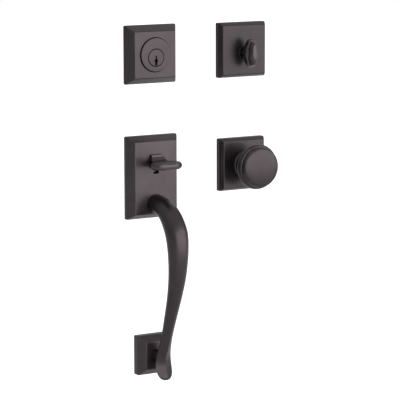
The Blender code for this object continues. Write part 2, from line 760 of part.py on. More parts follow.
def thumb_side():
    """Outline of out and z for the thumb piece's upright plate, with its fillet to the pad."""
    back = HANDLE_RISE + THUMB_STEM_GAP
    front = back + THUMB_STEM_DEPTH
    corner = THUMB_STEM_CORNER
    heel = THUMB_STEM_HEEL
    outline = arc((back + corner, THUMB_STEM_TOP - corner), corner, 180, 90, 3)
    outline += arc((front - corner, THUMB_STEM_TOP - corner), corner, 90, 0, 3)
    start = Vector((front, THUMB_STEM_TOP - corner - THUMB_FILLET_DROP))
    end_low = pad_low(THUMB_FILLET_OUT)
    end = Vector((THUMB_FILLET_OUT, end_low + THUMB_PAD_THICK - THUMB_FILLET_DROP / 2))
    bend = Vector((front + (THUMB_FILLET_OUT - front) / 4, end.y))
    steps = 6
    for i in range(steps + 1):
        t = i / steps
        outline.append(tuple(start * (1 - t) ** 2 + bend * (2 * t * (1 - t)) + end * t ** 2))
    outline.append((THUMB_FILLET_OUT, end_low + THUMB_PAD_THICK / 2))
    outline.append((front, pad_low(front) + THUMB_PAD_THICK / 2))
    outline += arc((front - corner, THUMB_STEM_LOW + corner), corner, 0, -90, 3)
    outline += arc((back + heel, THUMB_STEM_LOW + heel), heel, 270, 180, 3)
    return outline


def thumb_pad():
    """Sections of the oval pad: it widens from the plate and has a half-round rim all round."""
    front = HANDLE_RISE + THUMB_STEM_GAP + THUMB_STEM_DEPTH
    start = front - THUMB_STEM_DEPTH / 2
    root = THUMB_STEM_WIDTH / 2 - GAP
    sections = []
    steps = 14
    rim_steps = 6
    for i in range(steps + 1):
        out = start + (THUMB_REACH - start) * math.sin(math.pi / 2 * i / steps) ** 1.1
        ahead = max(out - THUMB_PAD_OUT, 0.0) / THUMB_PAD_HALF_DEPTH
        along = min(max(out - front, 0.0) / (THUMB_PAD_OUT - front), 1.0)
        half = root + (THUMB_PAD_HALF_WIDTH - root) * math.sin(math.pi / 2 * along) ** 1.5
        half *= math.sqrt(max(1.0 - ahead ** 2, 0.004))
        nose = max(1.0 - (THUMB_REACH - out) / (THUMB_PAD_THICK / 2), 0.0)
        rim = THUMB_PAD_THICK / 2 * math.sqrt(max(1.0 - nose ** 2, 0.004))
        middle = pad_low(out) + THUMB_PAD_THICK / 2
        section = []
        for side in (1, -1):
            for x, z in arc((side * (half - rim), middle), rim, side * 90 - 180, side * 90, rim_steps):
                section.append((x, -out, z))
        sections.append(section)
    return sections


def build_thumb_piece(trim):
    pivot = add_empty("thumb_axis", (0, -PIVOT_OUT, PIVOT_Z), trim)
    shift = Vector((0, PIVOT_OUT, -PIVOT_Z))

    def moved(bm):
        bmesh.ops.translate(bm, vec=shift, verts=bm.verts)
        return bm

    lever = add_piece("thumb_piece", moved(side_prism(thumb_side(), THUMB_STEM_WIDTH)), pivot, bronze)
    fuse(lever, moved(loft(thumb_pad())))
    front = HANDLE_RISE + THUMB_STEM_GAP + THUMB_STEM_DEPTH / 3
    foot_top = -CRANK_PIN_RADIUS - GAP
    foot_low = foot_top - FOOT_LIFT_HEIGHT
    neck_out = PIVOT_OUT - EAR_RADIUS
    tang = [
        (front, TANG_TOP),
        (neck_out, TANG_TOP),
        (TANG_SHELF_OUT, PIVOT_Z + EAR_RADIUS),
        (TANG_SHELF_OUT, TANG_SHELF),
        (TANG_REAR, TANG_SHELF),
        (TANG_REAR, foot_low),
        (0.0, foot_low),
        (TANG_FRONT, TANG_FRONT_LOW),
        (TANG_FRONT, TANG_FRONT_TOP),
        (front, TANG_FRONT_TOP),
    ]
    fuse(lever, moved(side_prism(tang, TANG_WIDTH)))
    reach = CRANK_RADIUS + CRANK_PIN_RADIUS
    foot_front = TANG_REAR + FOOT_LIFT_WIDTH
    fuse(lever, moved(block(-TANG_WIDTH / 2, reach, TANG_REAR, foot_front, foot_low, foot_top)))
    hole = pin_circle((0, 0), PIN_RADIUS + GAP)
    cut(lever, loft([[(x, -out, z) for out, z in hole] for x in (-HANDLE_WIDTH / 4, HANDLE_WIDTH / 4)]))

    half_pin = TANG_WIDTH / 2 + RUN + 2 * EAR_THICKNESS
    pin_loop = pin_circle((PIVOT_OUT, PIVOT_Z), PIN_RADIUS)
    pin = loft([[(x, -out, z) for out, z in pin_loop] for x in (-half_pin, half_pin)])
    add_piece("thumb_pin", pin, trim, steel)

    spring_low = TANG_SHELF + GAP + SPRING_WIRE
    spring_high = TAB_Z - GAP - SPRING_WIRE
    path = helix(SPRING_RADIUS, spring_high - spring_low, SPRING_TURNS, 10)
    spring_axis = add_empty("thumb_spring_axis", (0, SPRING_BEHIND, spring_low), trim)
    add_piece("thumb_spring", wire(path, SPRING_WIRE, 4), spring_axis, steel)


def build_latch_drive(trim):
    outer = DOOR_BORE_RADIUS - CUP_PLAY
    cup_profile = [
        (outer, -GAP),
        (outer, -CUP_DEPTH + CUP_BEND),
        (outer - CUP_BEND, -CUP_DEPTH),
        (CAM_HUB_RADIUS + RUN, -CUP_DEPTH),
        (CAM_HUB_RADIUS + RUN, -CUP_DEPTH + CUP_WALL),
        (outer - CUP_BEND - CUP_WALL / 2, -CUP_DEPTH + CUP_WALL),
        (outer - CUP_WALL, -CUP_DEPTH + CUP_BEND + CUP_WALL / 2),
        (outer - CUP_WALL, -GAP),
    ]
    cup = add_piece("latch_housing", turned(cup_profile, closed=True), trim, steel)
    for side in (-1, 1):
        x = side * LATCH_SCREW_SPACING / 2
        past_floor = -CUP_DEPTH + CUP_WALL + CUT_PAST
        cut(cup, rod(POST_RADIUS + GAP, -CUP_DEPTH - CUT_PAST, past_floor, SMALL_ROUND, x))

    disc_back = -CUP_DEPTH + CUP_WALL + GAP
    disc_front = disc_back + CAM_THICKNESS
    hub_back = -CUP_DEPTH - GAP - CLIP_THICKNESS - HUB_STUB
    cam_profile = [
        (0, disc_front),
        (CAM_RADIUS, disc_front),
        (CAM_RADIUS, disc_back),
        (CAM_HUB_RADIUS, disc_back),
        (CAM_HUB_RADIUS, hub_back),
        (0, hub_back),
    ]
    cam = add_piece("latch_cam", turned(cam_profile, SMALL_ROUND), trim, steel)
    pin_root = disc_front - CAM_THICKNESS / 2
    fuse(cam, rod(CRANK_PIN_RADIUS, pin_root, -CRANK_PIN_FRONT, PIN_ROUND, CRANK_RADIUS))
    half = LATCH_BAR / 2
    socket = half + GAP
    cut(cam, block(-socket, socket, hub_back - CUT_PAST, disc_front - HUB_STUB, -socket, socket))
    groove_front = -CUP_DEPTH - GAP
    groove_back = groove_front - CLIP_THICKNESS - GAP
    groove = CAM_HUB_RADIUS * CAM_GROOVE
    cut(cam, ring(groove, CAM_HUB_RADIUS + CUT_PAST, groove_back, groove_front + GAP / 3))

    clip = clip_ring(groove + GAP, CAM_HUB_RADIUS + CLIP_WIDTH,
                     groove_front - GAP / 2 - CLIP_THICKNESS, groove_front - GAP / 2)
    add_piece("cam_clip", clip, trim, steel)

    bar_front = disc_front - HUB_STUB - GAP
    bar = block(-half, half, -LATCH_BAR_REACH, bar_front, -half, half)
    add_piece("latch_tailpiece", bar, trim, steel)

    for side, name in ((-1, "post_left"), (1, "post_right")):
        axis = add_empty(name + "_axis", (side * LATCH_SCREW_SPACING / 2, 0, 0), trim)
        profile = [
            (0, PLATE - GAP),
            (POST_SPIGOT_RADIUS, PLATE - GAP),
            (POST_SPIGOT_RADIUS, -GAP),
            (POST_RADIUS, -GAP),
            (POST_RADIUS, -POST_REACH),
            (SCREW_RADIUS, -POST_REACH),
            (SCREW_RADIUS, -POST_REACH + POST_THREAD_DEPTH),
            (0, -POST_REACH + POST_THREAD_DEPTH + SCREW_RADIUS / 2),
        ]
        add_piece(name, turned(profile, SMALL_ROUND), axis, steel)

    names = ("backplate_screw_upper", "backplate_screw_lower")
    for name, z in zip(names, BACKPLATE_SCREWS):
        axis = add_empty(name + "_axis", (0, 0, z), trim)
        screw_end = HANDLE_RISE - CAST_WALL - BACKPLATE_SCREW_SHORT
        profile = [
            (0, screw_end),
            (SCREW_RADIUS, screw_end),
            (SCREW_RADIUS, 0.0),
            (0, 0.0),
        ]
        screw = add_piece(name, turned(profile, PIN_ROUND), axis, steel)
        half_slot = SCREW_SLOT / 2
        wide = SCREW_RADIUS * 2
        cut(screw, block(-half_slot, half_slot, -CUT_PAST, SCREW_SLOT_DEPTH, -wide, wide))


# Grip and foot

def smooth_path(points, per_span):
    """Catmull-Rom curve through rows of numbers."""
    rows = [points[0]] + list(points) + [points[-1]]
    curve = []
    for i in range(1, len(rows) - 2):
        for k in range(per_span):
            t = k / per_span
            row = []
            for a, b, c, d in zip(rows[i - 1], rows[i], rows[i + 1], rows[i + 2]):
                row.append(0.5 * (2 * b + (c - a) * t + (2 * a - 5 * b + 4 * c - d) * t * t
                                  + (3 * b - a - 3 * c + d) * t ** 3))
            curve.append(row)
    curve.append(list(points[-1]))
    return curve


def grip_stations():
    """Rows of out, z, half width across X, half depth and ridge, from the root to the tail.

    The stations are fractions: of the way out to GRIP_REACH, from the handle plate down to
    the crest and from the tail up to it; of the drop from the root to the foot; and of
    GRIP_HALF_WIDTH.
    """
    root = HANDLE_RISE + GAP
    tail = FOOT_RISE + TAIL_RISE
    upper = [
        (0.00, 0.000, 0.92, 0.85, 0.0),
        (0.17, 0.003, 0.88, 0.82, 0.0),
        (0.38, 0.018, 0.88, 0.85, 0.0),
        (0.60, 0.050, 0.94, 0.91, 0.0),
        (0.79, 0.100, 0.98, 0.96, 0.0),
        (0.94, 0.166, 1.00, 0.97, 0.0),
        (1.00, 0.252, 0.94, 0.92, 0.0),
    ]
    lower = [
        (1.00, 0.349, 0.86, 0.84, 0.0),
        (0.93, 0.452, 0.77, 0.76, 0.0),
        (0.76, 0.576, 0.66, 0.65, 0.05),
        (0.51, 0.712, 0.57, 0.56, 0.15),
        (0.28, 0.836, 0.52, 0.50, 0.3),
        (0.14, 0.923, 0.57, 0.47, 0.6),
        (0.02, 0.993, 0.70, 0.43, 0.9),
        (0.01, 1.052, 0.79, 0.41, 1.0),
        (0.10, 1.104, 0.73, 0.38, 1.0),
        (0.18, 1.134, 0.47, 0.28, 0.7),
        (0.20, 1.145, 0.15, 0.10, 0.2),
    ]
    rows = []
    for base, stations in ((root, upper), (tail, lower)):
        for reach, drop, width, depth, ridge in stations:
            out = base + (GRIP_REACH - base) * reach
            z = GRIP_ROOT_Z + (FOOT_Z - GRIP_ROOT_Z) * drop
            rows.append((out, z, GRIP_HALF_WIDTH * width, GRIP_HALF_WIDTH * depth, ridge))
    return rows


def grip_sections(per_span=2, count=18):
    """Sections square to the grip's path; the ridge runs down the front of the tail."""
    rows = smooth_path(grip_stations(), per_span)
    sections = []
    for i, (out, z, half_width, half_depth, ridge) in enumerate(rows):
        ahead = rows[min(i + 1, len(rows) - 1)]
        behind = rows[max(i - 1, 0)]
        along = Vector((0, -(ahead[0] - behind[0]), ahead[1] - behind[1])).normalized()
        if i == 0:
            along = Vector((0, -1, 0))
        normal = Vector((0, along.z, -along.y))
        centre = Vector((0, -out, z))
        section = []
        for k in range(count):
            angle = 2 * math.pi * k / count
            x = half_width * math.cos(angle)
            depth = math.sin(angle)
            if depth > 0:
                depth = (1 - ridge) * depth + ridge * (1 - abs(math.cos(angle)))
            section.append(centre + Vector((x, 0, 0)) + normal * (half_depth * depth))
        sections.append(section)
    return sections


def build_grip(trim):
    grip = add_piece("grip", loft(grip_sections()), trim, bronze)
    fuse(grip, rod(FOOT_POST_RADIUS, FOOT_RISE + GAP, FOOT_RISE + TAIL_RISE, SMALL_ROUND, z=FOOT_Z))
    root = HANDLE_RISE + GAP
    bite = GRIP_SCREW_GRIP
    cut(grip, rod(GRIP_SCREW_RADIUS + GAP, root - CUT_PAST, root + bite + GAP, SMALL_ROUND, z=GRIP_ROOT_Z))
    stud_end = FOOT_RISE + GAP + STUD_BITE
    cut(grip, rod(STUD_RADIUS + GAP, FOOT_RISE - CUT_PAST, stud_end + GAP, SMALL_ROUND, z=FOOT_Z))

    axis = add_empty("grip_screw_axis", (0, 0, GRIP_ROOT_Z), trim)
    head_front = PLATE + GAP + GRIP_SCREW_HEAD
    profile = [
        (0, root + bite),
        (GRIP_SCREW_RADIUS, root + bite),
        (GRIP_SCREW_RADIUS, head_front),
        (GRIP_SCREW_HEAD_RADIUS, head_front),
        (GRIP_SCREW_HEAD_RADIUS, PLATE + GAP + HEAD_CHAMFER),
        (GRIP_SCREW_HEAD_RADIUS - HEAD_CHAMFER, PLATE + GAP),
        (0, PLATE + GAP),
    ]
    add_piece("grip_screw", turned(profile, SMALL_ROUND), axis, steel)


def build_foot(trim):
    centre = add_empty("foot_centre", (0, 0, FOOT_Z), trim)
    shell = bevel_shell(FOOT_WIDTH, FOOT_HEIGHT, FOOT_EDGE, FOOT_RISE, FOOT_SLOPE)
    foot = add_piece("foot", shell, centre, bronze)
    fuse(foot, rod(FOOT_POST_RADIUS, 0.0, FOOT_RISE - CAST_WALL / 2, SMALL_ROUND))
    cut(foot, rod(STUD_RADIUS + GAP, -CUT_PAST, FOOT_RISE + CUT_PAST, SMALL_ROUND))
    stud_end = FOOT_RISE + GAP + STUD_BITE
    add_piece("foot_stud", rod(STUD_RADIUS, -STUD_REACH, stud_end), centre, steel)


# Interior knob

def knob_profile():
    """Half section of the knob, from the middle of its face to the end of its shank."""
    collar_front = ROSE_RISE + KNOB_COLLAR_PROUD
    profile = [(0, KNOB_FACE_OUT + KNOB_DOME)]
    steps = 5
    for i in range(1, steps + 1):
        angle = math.pi / 2 * i / steps
        profile.append((KNOB_FACE_RADIUS * math.sin(angle), KNOB_FACE_OUT + KNOB_DOME * math.cos(angle)))
    profile.append((KNOB_FACE_RADIUS + KNOB_FACE_EDGE, KNOB_FACE_OUT - KNOB_FACE_EDGE))
    rim_front = KNOB_RIM_OUT + KNOB_RIM_DEPTH
    profile.append((KNOB_RIM_INNER - KNOB_FACE_EDGE / 2, rim_front))
    for i in range(steps + 1):
        angle = math.pi / 2 * (1 - i / steps)
        radius = KNOB_RIM_INNER + (KNOB_RADIUS - KNOB_RIM_INNER) * math.cos(angle)
        profile.append((radius, KNOB_RIM_OUT + KNOB_RIM_DEPTH * math.sin(angle)))
    back = KNOB_RIM_OUT - collar_front - KNOB_NECK_GAP
    steps = 7
    for i in range(1, steps + 1):
        t = i / steps
        fall = 0.5 + 0.5 * math.cos(math.pi * t ** 0.85)
        radius = KNOB_NECK_RADIUS + (KNOB_RADIUS - KNOB_NECK_RADIUS) * fall
        profile.append((radius, KNOB_RIM_OUT - back * t))
    profile.append((KNOB_NECK_RADIUS, collar_front + GAP * 2))
    profile.append((SHANK_RADIUS, collar_front + GAP * 2))
    groove_front = KNOB_COLLAR_BACK - GAP
    groove_back = groove_front - CLIP_THICKNESS - GAP
    groove = SHANK_RADIUS * SHANK_GROOVE
    profile.append((SHANK_RADIUS, groove_front + GAP / 2))
    profile.append((groove, groove_front + GAP / 2))
    profile.append((groove, groove_back - GAP / 2))
    profile.append((SHANK_RADIUS, groove_back - GAP / 2))
    profile.append((SHANK_RADIUS, PLATE + GAP))
    profile.append((0, PLATE + GAP))
    return profile


def build_knob(trim):
    face = ROSE_RISE
    add_interior_rose("knob_rose", trim, KNOB_ROSE_WIDTH, KNOB_COLLAR_SPIGOT + GAP)
    front = face + KNOB_COLLAR_PROUD
    inner = SHANK_RADIUS + RUN
    collar_profile = [
        (KNOB_COLLAR_RADIUS - KNOB_COLLAR_EASE, front),
        (KNOB_COLLAR_RADIUS - KNOB_COLLAR_EASE / 3, front - KNOB_COLLAR_EASE / 3),
        (KNOB_COLLAR_RADIUS, front - KNOB_COLLAR_EASE),
        (KNOB_COLLAR_RADIUS, face + GAP),
        (KNOB_COLLAR_SPIGOT, face + GAP),
        (KNOB_COLLAR_SPIGOT, KNOB_COLLAR_BACK),
        (inner, KNOB_COLLAR_BACK),
        (inner, front),
    ]
    add_piece("knob_collar", turned(collar_profile, closed=True), trim, bronze)

    knob = add_piece("interior_knob", turned(knob_profile()), trim, bronze)
    half = SPINDLE_SQUARE / 2
    socket = half + GAP
    socket_end = PLATE + SHANK_BORE_DEPTH
    cut(knob, block(-socket, socket, 0.0, socket_end, -socket, socket))
    screw_out = front + KNOB_SCREW_AHEAD
    screw_low = -KNOB_NECK_RADIUS
    tip = -half - GAP
    hole = pin_circle((0, -screw_out), KNOB_SCREW_RADIUS + GAP)
    cut(knob, loft([[(x, y, z) for x, y in hole] for z in (screw_low - 2 * CUT_PAST, -half)]))
    grub = pin_circle((0, -screw_out), KNOB_SCREW_RADIUS)
    grub_body = loft([[(x, y, z) for x, y in grub] for z in (screw_low + KNOB_SCREW_SUNK, tip)])
    add_piece("knob_set_screw", grub_body, trim, steel)

    spindle = block(-half, half, -SPINDLE_REACH, socket_end - GAP, -half, half)
    add_piece("knob_spindle", spindle, trim, steel)

    clip_front = KNOB_COLLAR_BACK - GAP
    clip = clip_ring(SHANK_RADIUS * SHANK_GROOVE + GAP, SHANK_RADIUS + CLIP_WIDTH,
                     clip_front - CLIP_THICKNESS, clip_front)
    add_piece("knob_clip", clip, trim, steel)

    spring_radius = KNOB_COLLAR_SPIGOT + KNOB_SPRING_PLAY + KNOB_SPRING_WIRE
    spring_back = PLATE + GAP + KNOB_SPRING_WIRE
    spring_front = face - CAST_WALL - GAP - KNOB_SPRING_WIRE
    coil = helix(spring_radius, spring_front - spring_back, KNOB_SPRING_TURNS, PIN_ROUND)
    spring = wire(coil, KNOB_SPRING_WIRE, 4)
    bmesh.ops.rotate(spring, matrix=Matrix.Rotation(math.radians(90), 3, "X"), verts=spring.verts)
    spring_axis = add_empty("knob_spring_axis", (0, -spring_back, 0), trim)
    add_piece("knob_spring", spring, spring_axis, steel)

    spindle_hole = SPINDLE_SQUARE / 2 * math.sqrt(2) + RUN
    add_interior_plate("knob_plate", trim, KNOB_ROSE_WIDTH, spindle_hole, LATCH_SCREW_SPACING)
    add_rose_set_screw("knob_rose_screw", trim, KNOB_ROSE_WIDTH)


def build():
    for obj in list(bpy.data.objects):
        bpy.data.objects.remove(obj, do_unlink=True)
    deadbolt_trim = add_empty("deadbolt_trim", (0, 0, BORE_SPACING))
    build_deadbolt(deadbolt_trim)
    turn_trim = add_empty("turn_trim", (INTERIOR_X, 0, BORE_SPACING))
    turn_axis = add_empty("turn_axis", (INTERIOR_X, 0, BORE_SPACING - PLUG_DROP))
    build_thumb_turn(turn_trim, turn_axis)
    handle_trim = add_empty("latch_axis", (0, 0, 0))
    build_handle_plate(handle_trim)
    build_backplate(handle_trim)
    build_thumb_piece(handle_trim)
    build_latch_drive(handle_trim)
    build_grip(handle_trim)
    build_foot(handle_trim)
    knob_trim = add_empty("knob_axis", (INTERIOR_X, 0, 0))
    build_knob(knob_trim)


build()
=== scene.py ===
import json
import math

import bmesh
import bpy
from mathutils import Matrix, Vector


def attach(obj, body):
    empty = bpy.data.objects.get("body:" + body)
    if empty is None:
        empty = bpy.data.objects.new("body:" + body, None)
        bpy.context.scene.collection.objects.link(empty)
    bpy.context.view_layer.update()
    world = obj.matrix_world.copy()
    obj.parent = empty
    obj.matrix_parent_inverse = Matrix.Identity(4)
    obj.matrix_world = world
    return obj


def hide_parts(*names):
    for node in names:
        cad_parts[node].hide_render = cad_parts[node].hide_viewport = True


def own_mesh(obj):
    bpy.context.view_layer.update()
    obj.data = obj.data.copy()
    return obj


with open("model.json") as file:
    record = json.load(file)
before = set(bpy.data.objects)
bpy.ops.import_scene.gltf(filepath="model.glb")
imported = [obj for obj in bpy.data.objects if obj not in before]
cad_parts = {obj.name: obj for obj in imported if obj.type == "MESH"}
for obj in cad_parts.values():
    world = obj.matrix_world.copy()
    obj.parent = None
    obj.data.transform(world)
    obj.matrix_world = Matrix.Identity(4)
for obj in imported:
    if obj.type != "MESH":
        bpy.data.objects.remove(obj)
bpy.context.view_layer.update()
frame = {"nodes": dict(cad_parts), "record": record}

# Entry door handleset, dressed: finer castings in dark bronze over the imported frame.
# Metres, +Z up, the door's face at y = 0. "Out" is minus y, towards the viewer.
# The sizes repeat those of part.py, which this script doesn't read.

# Clearances and walls
GAP = 0.0003
RUN = 0.0004
WALL = 0.0021
PLATE_SEAT = 0.0021
CUT_PAST = 0.002

# Layout
INTERIOR_X = 0.126
BORE_SPACING = 0.1397
HANDLE_DROP = 0.0070
PLUG_DROP = 0.0034
GRIP_ROOT_Z = -0.0385
FOOT_Z = -0.2233

# Bevelled castings: the straight edge, the rise of the face and the slope of the bevels
DEADBOLT_WIDTH = 0.0700
DEADBOLT_EDGE = 0.0026
DEADBOLT_RISE = 0.0150
DEADBOLT_SLOPE = 0.0074
TURN_ROSE_WIDTH = 0.0668
KNOB_ROSE_WIDTH = 0.0645
ROSE_EDGE = 0.0058
ROSE_RISE = 0.0120
ROSE_SLOPE = 0.0035
HANDLE_WIDTH = 0.0700
HANDLE_HEIGHT = 0.1000
HANDLE_EDGE = 0.0044
HANDLE_RISE = 0.0155
HANDLE_SLOPE = 0.0065
FOOT_WIDTH = 0.0465
FOOT_HEIGHT = 0.0485
FOOT_EDGE = 0.0084
FOOT_RISE = 0.0168
FOOT_SLOPE = 0.0076

# Exterior deadbolt
COLLAR_RADIUS = 0.0200
COLLAR_OUT = 0.0170
HOUSING_RADIUS = 0.0170
HOUSING_BACK = -0.0100
HOUSING_SCREW_RADIUS = 0.0020
HOUSING_SCREW_X = 0.0135
HOUSING_SCREW_DEPTH = 0.004
PLUG_RADIUS = 0.0101
PLUG_TAIL_RADIUS = 0.0062
PLUG_TAIL_LENGTH = 0.0040
TAIL_SLOT_HALF = 0.0013
TAIL_SLOT_STOP = 0.0012
KEYWAY_DEPTH = 0.022
KEYWAY_MOUTH_DEPTH = 0.0006
KEYWAY_MOUTH_WIDER = 0.0004
SEAM_CHAMFER = 0.0005

# Interior trims
SET_SCREW_OUT = 0.00335
SET_SCREW_HOLE = 0.0023
STEM_RADIUS = 0.0048
STEM_SOCKET_HALF = 0.0031
STEM_SOCKET_BACK = -0.0060
TURN_HOLE = 0.0067
BUSHING_RADIUS = 0.0080
BUSHING_SPIGOT = 0.0064
BUSHING_PROUD = 0.0010
KNOB_HOLE = 0.0135
KNOB_COLLAR_FRONT = ROSE_RISE + 0.0060
SHANK_RADIUS = 0.0100
SPINDLE_SOCKET_HALF = 0.0041
SPINDLE_SOCKET_FRONT = 0.0238
GRUB_HOLE = 0.0019
GRUB_AHEAD = 0.0024

# Handle plate, grip and foot
SLOT_WIDTH = 0.0075
SLOT_BOTTOM = -0.0024
SLOT_TOP = 0.0180
BACKPLATE_SCREWS = (0.0290, -0.0215)
BACKPLATE_SCREW_HOLE = 0.0023
BOSS_RADIUS = 0.0045
GRIP_BOSS_RADIUS = 0.0075
GRIP_BOSS_BACK = 0.0058
GRIP_BOSS_HOLE = 0.0031
GRIP_SCREW_HOLE = 0.0030
GRIP_SCREW_DEPTH = 0.0113
GRIP_REACH = 0.0664
GRIP_HALF_WIDTH = 0.0136
TAIL_RISE = 0.0142
POST_RADIUS = 0.0075
STUD_HOLE = 0.0033
STUD_DEPTH = 0.0066

# Thumb piece and its spring
PIVOT = (0.0090, 0.0055)
PIVOT_HOLE = 0.0021
STEM_BACK = HANDLE_RISE + 0.0010
STEM_FRONT = STEM_BACK + 0.0026
STEM_HALF = 0.0078
STEM_TOP = 0.0212
PAD_LOW = 0.0053
PAD_RISE = 0.0009
PAD_THICK = 0.0088
PAD_OUT = 0.0398
PAD_DEPTH = 0.0138
PAD_HALF = 0.0201
PAD_REACH = PAD_OUT + PAD_DEPTH
TANG_WIDTH = 0.0060
TANG_REAR = -0.0046
TANG_SHELF = 0.0030
SPRING_OUT = -0.0012
SPRING_LOW = 0.0033
SPRING_HIGH = 0.0152

# Fineness
ROUND = 96
SMALL_ROUND = 48
EDGE_ROUND = 0.0008
CORNER_ROUND = 0.0018
FACE_CORNER = 0.0006
SHARP = math.radians(40)

DEADBOLT = Vector((0, 0, BORE_SPACING))
PLUG = DEADBOLT + Vector((0, 0, -PLUG_DROP))
TURN_ROSE = Vector((INTERIOR_X, 0, BORE_SPACING))
TURN = Vector((INTERIOR_X, 0, BORE_SPACING - PLUG_DROP))
HANDLE = Vector((0, 0, -HANDLE_DROP))
LATCH = Vector((0, 0, 0))
FOOT = Vector((0, 0, FOOT_Z))
KNOB = Vector((INTERIOR_X, 0, 0))

# Finishes. Each casting's bronze is scaled lighter or darker by its own level: painted light and shade
# for how light falls on that piece.
BRONZE = (0.047, 0.038, 0.041)
# Edge colour: rubbed wear and a painted highlight.
RUBBED_AND_HIGHLIGHT = (0.110, 0.084, 0.080)
ZINC = (0.50, 0.50, 0.49)
BARE = (0.42, 0.42, 0.43)
DEADBOLT_PAINTED_SHADING = 0.95
TURN_ROSE_PAINTED_SHADING = 0.70
TURN_PAINTED_SHADING = 1.15
TURN_ROUGH = (0.18, 0.24)
KNOB_PAINTED_SHADING = 0.84
PLATE_PAINTED_SHADING = 1.12
THUMB_PAINTED_SHADING = 1.30
GRIP_PAINTED_SHADING = 0.92
FOOT_PAINTED_SHADING = 1.04

# Camera and studio
TARGET = Vector((0.07015, 0.0, -0.04173))
AZIMUTH = math.radians(-30.92)
ELEVATION = math.radians(8.75)
DISTANCE = 2.67845
ROLL = math.radians(-0.12)
LENS = 198.0
FLOOR_Z = -0.46
FLOOR_HALF = 8.0
FLOOR_COLOUR = (0.45, 0.45, 0.45, 1.0)
WHITE = (1.0, 1.0, 1.0, 1.0)
GLOSS_LEVEL = 0.58
GLOSS_OVERHEAD = 1.0
DIFFUSE_LEVEL = 0.55


# Meshes

def join_rings(bm, first, second):
    """Faces between two rings of as many points, or between a ring and a single point."""
    count = max(len(first), len(second))
    for i in range(count):
        j = (i + 1) % count
        if len(first) == 1:
            bm.faces.new((first[0], second[j], second[i]))
        elif len(second) == 1:
            bm.faces.new((first[i], first[j], second[0]))
        else:
            bm.faces.new((first[i], first[j], second[j], second[i]))


def loft(sections, closed=False):
    """Solid through the sections, capped at both ends or joined back to its start."""
    bm = bmesh.new()
    rings = [[bm.verts.new(point) for point in section] for section in sections]
    for first, second in zip(rings, rings[1:]):
        join_rings(bm, first, second)
    if closed:
        join_rings(bm, rings[-1], rings[0])
    else:
        for end in (rings[0], rings[-1]):
            if len(end) > 2:
                bm.faces.new(end)
    bmesh.ops.recalc_face_normals(bm, faces=bm.faces)
    return bm


def circle(radius, out, count=ROUND, x=0.0, z=0.0):
    angles = [2 * math.pi * (i + 0.5) / count for i in range(count)]
    return [(x + radius * math.cos(a), -out, z + radius * math.sin(a)) for a in angles]


def ellipse(half_width, half_height, out):
    angles = [2 * math.pi * i / ROUND for i in range(ROUND)]
    return [(half_width * math.cos(a), -out, half_height * math.sin(a)) for a in angles]


def rod(radius, back, front, x=0.0, z=0.0, count=ROUND):
    return loft([circle(radius, out, count, x, z) for out in (back, front)])


def block(x_low, x_high, back, front, z_low, z_high):
    bm = bmesh.new()
    bmesh.ops.create_cube(bm, size=1.0)
    size = Vector((x_high - x_low, front - back, z_high - z_low))
    middle = Vector(((x_low + x_high) / 2, -(back + front) / 2, (z_low + z_high) / 2))
    bmesh.ops.transform(bm, matrix=Matrix.LocRotScale(middle, None, size), verts=bm.verts)
    return bm


def turned(profile, closed=False):
    """Solid of revolution about the out axis, from points of radius and out."""
    sections = []
    for radius, out in profile:
        sections.append([(0.0, -out, 0.0)] if radius <= 0 else circle(radius, out))
    return loft(sections, closed)


def side_prism(outline, width):
    """Prism across x, from an outline of out and z."""
    return loft([[(x, -out, z) for out, z in outline] for x in (-width / 2, width / 2)])


def upright_rod(centre, radius, low, high):
    """Rod along z, round a centre of x and y."""
    return loft([[(x, y, z) for x, y in pin_loop(centre, radius)] for z in (low, high)])


def chamfer(radius, front, depth, z=0.0):
    """Cone that breaks the edge of a round hole at a flat face."""
    past = 0.0005
    return loft([circle(radius - past, front - depth - past, z=z),
                 circle(radius + depth + past, front + past, z=z)])


# Outlines

def arc(centre, radius, start, end, steps):
    points = []
    for i in range(steps + 1):
        angle = math.radians(start + (end - start) * i / steps)
        points.append((centre[0] + radius * math.cos(angle), centre[1] + radius * math.sin(angle)))
    return points


def pin_loop(centre, radius):
    """Full circle of 24 points."""
    return arc(centre, radius, 0, 345, 23)


def bend(start, corner, end, steps):
    """Points of the curve that leaves start towards the corner and reaches end."""
    points = []
    for i in range(steps + 1):
        t = i / steps
        points.append(tuple(start * (1 - t) ** 2 + corner * (2 * t * (1 - t)) + end * t ** 2))
    return points


def eased(before, corner, after, reach=EDGE_ROUND):
    """Points that round a profile's corner."""
    middle = Vector(corner)
    start = middle + (Vector(before) - middle).normalized() * reach
    end = middle + (Vector(after) - middle).normalized() * reach
    return bend(start, middle, end, 5)


def filleted(profile, radius, steps=4, closed=False):
    """The profile with its corners rounded, except where it runs nearly straight on."""
    nearly_straight = math.radians(165)
    count = len(profile)
    points = []
    for i, corner in enumerate(profile):
        at_end = not closed and i in (0, count - 1)
        middle = Vector(corner)
        before = Vector(profile[i - 1]) - middle
        after = Vector(profile[(i + 1) % count]) - middle
        if at_end or before.angle(after) > nearly_straight:
            points.append(corner)
            continue
        reach = min(radius, 0.45 * before.length, 0.45 * after.length)
        start = middle + before.normalized() * reach
        end = middle + after.normalized() * reach
        points += bend(start, middle, end, steps)
    return points


def smooth_path(points, per_span):
    """Catmull-Rom curve through rows of numbers."""
    rows = [points[0]] + list(points) + [points[-1]]
    curve = []
    for i in range(1, len(rows) - 2):
        for k in range(per_span):
            t = k / per_span
            row = []
            for a, b, c, d in zip(rows[i - 1], rows[i], rows[i + 1], rows[i + 2]):
                row.append(0.5 * (2 * b + (c - a) * t + (2 * a - 5 * b + 4 * c - d) * t * t
                                  + (3 * b - a - 3 * c + d) * t ** 3))
            curve.append(row)
    curve.append(list(points[-1]))
    return curve


# Pieces

body_of = {}
for body, nodes in frame["record"]["behaviour"]["bodies"].items():
    for node in nodes:
        body_of[node] = body
dressed = set()


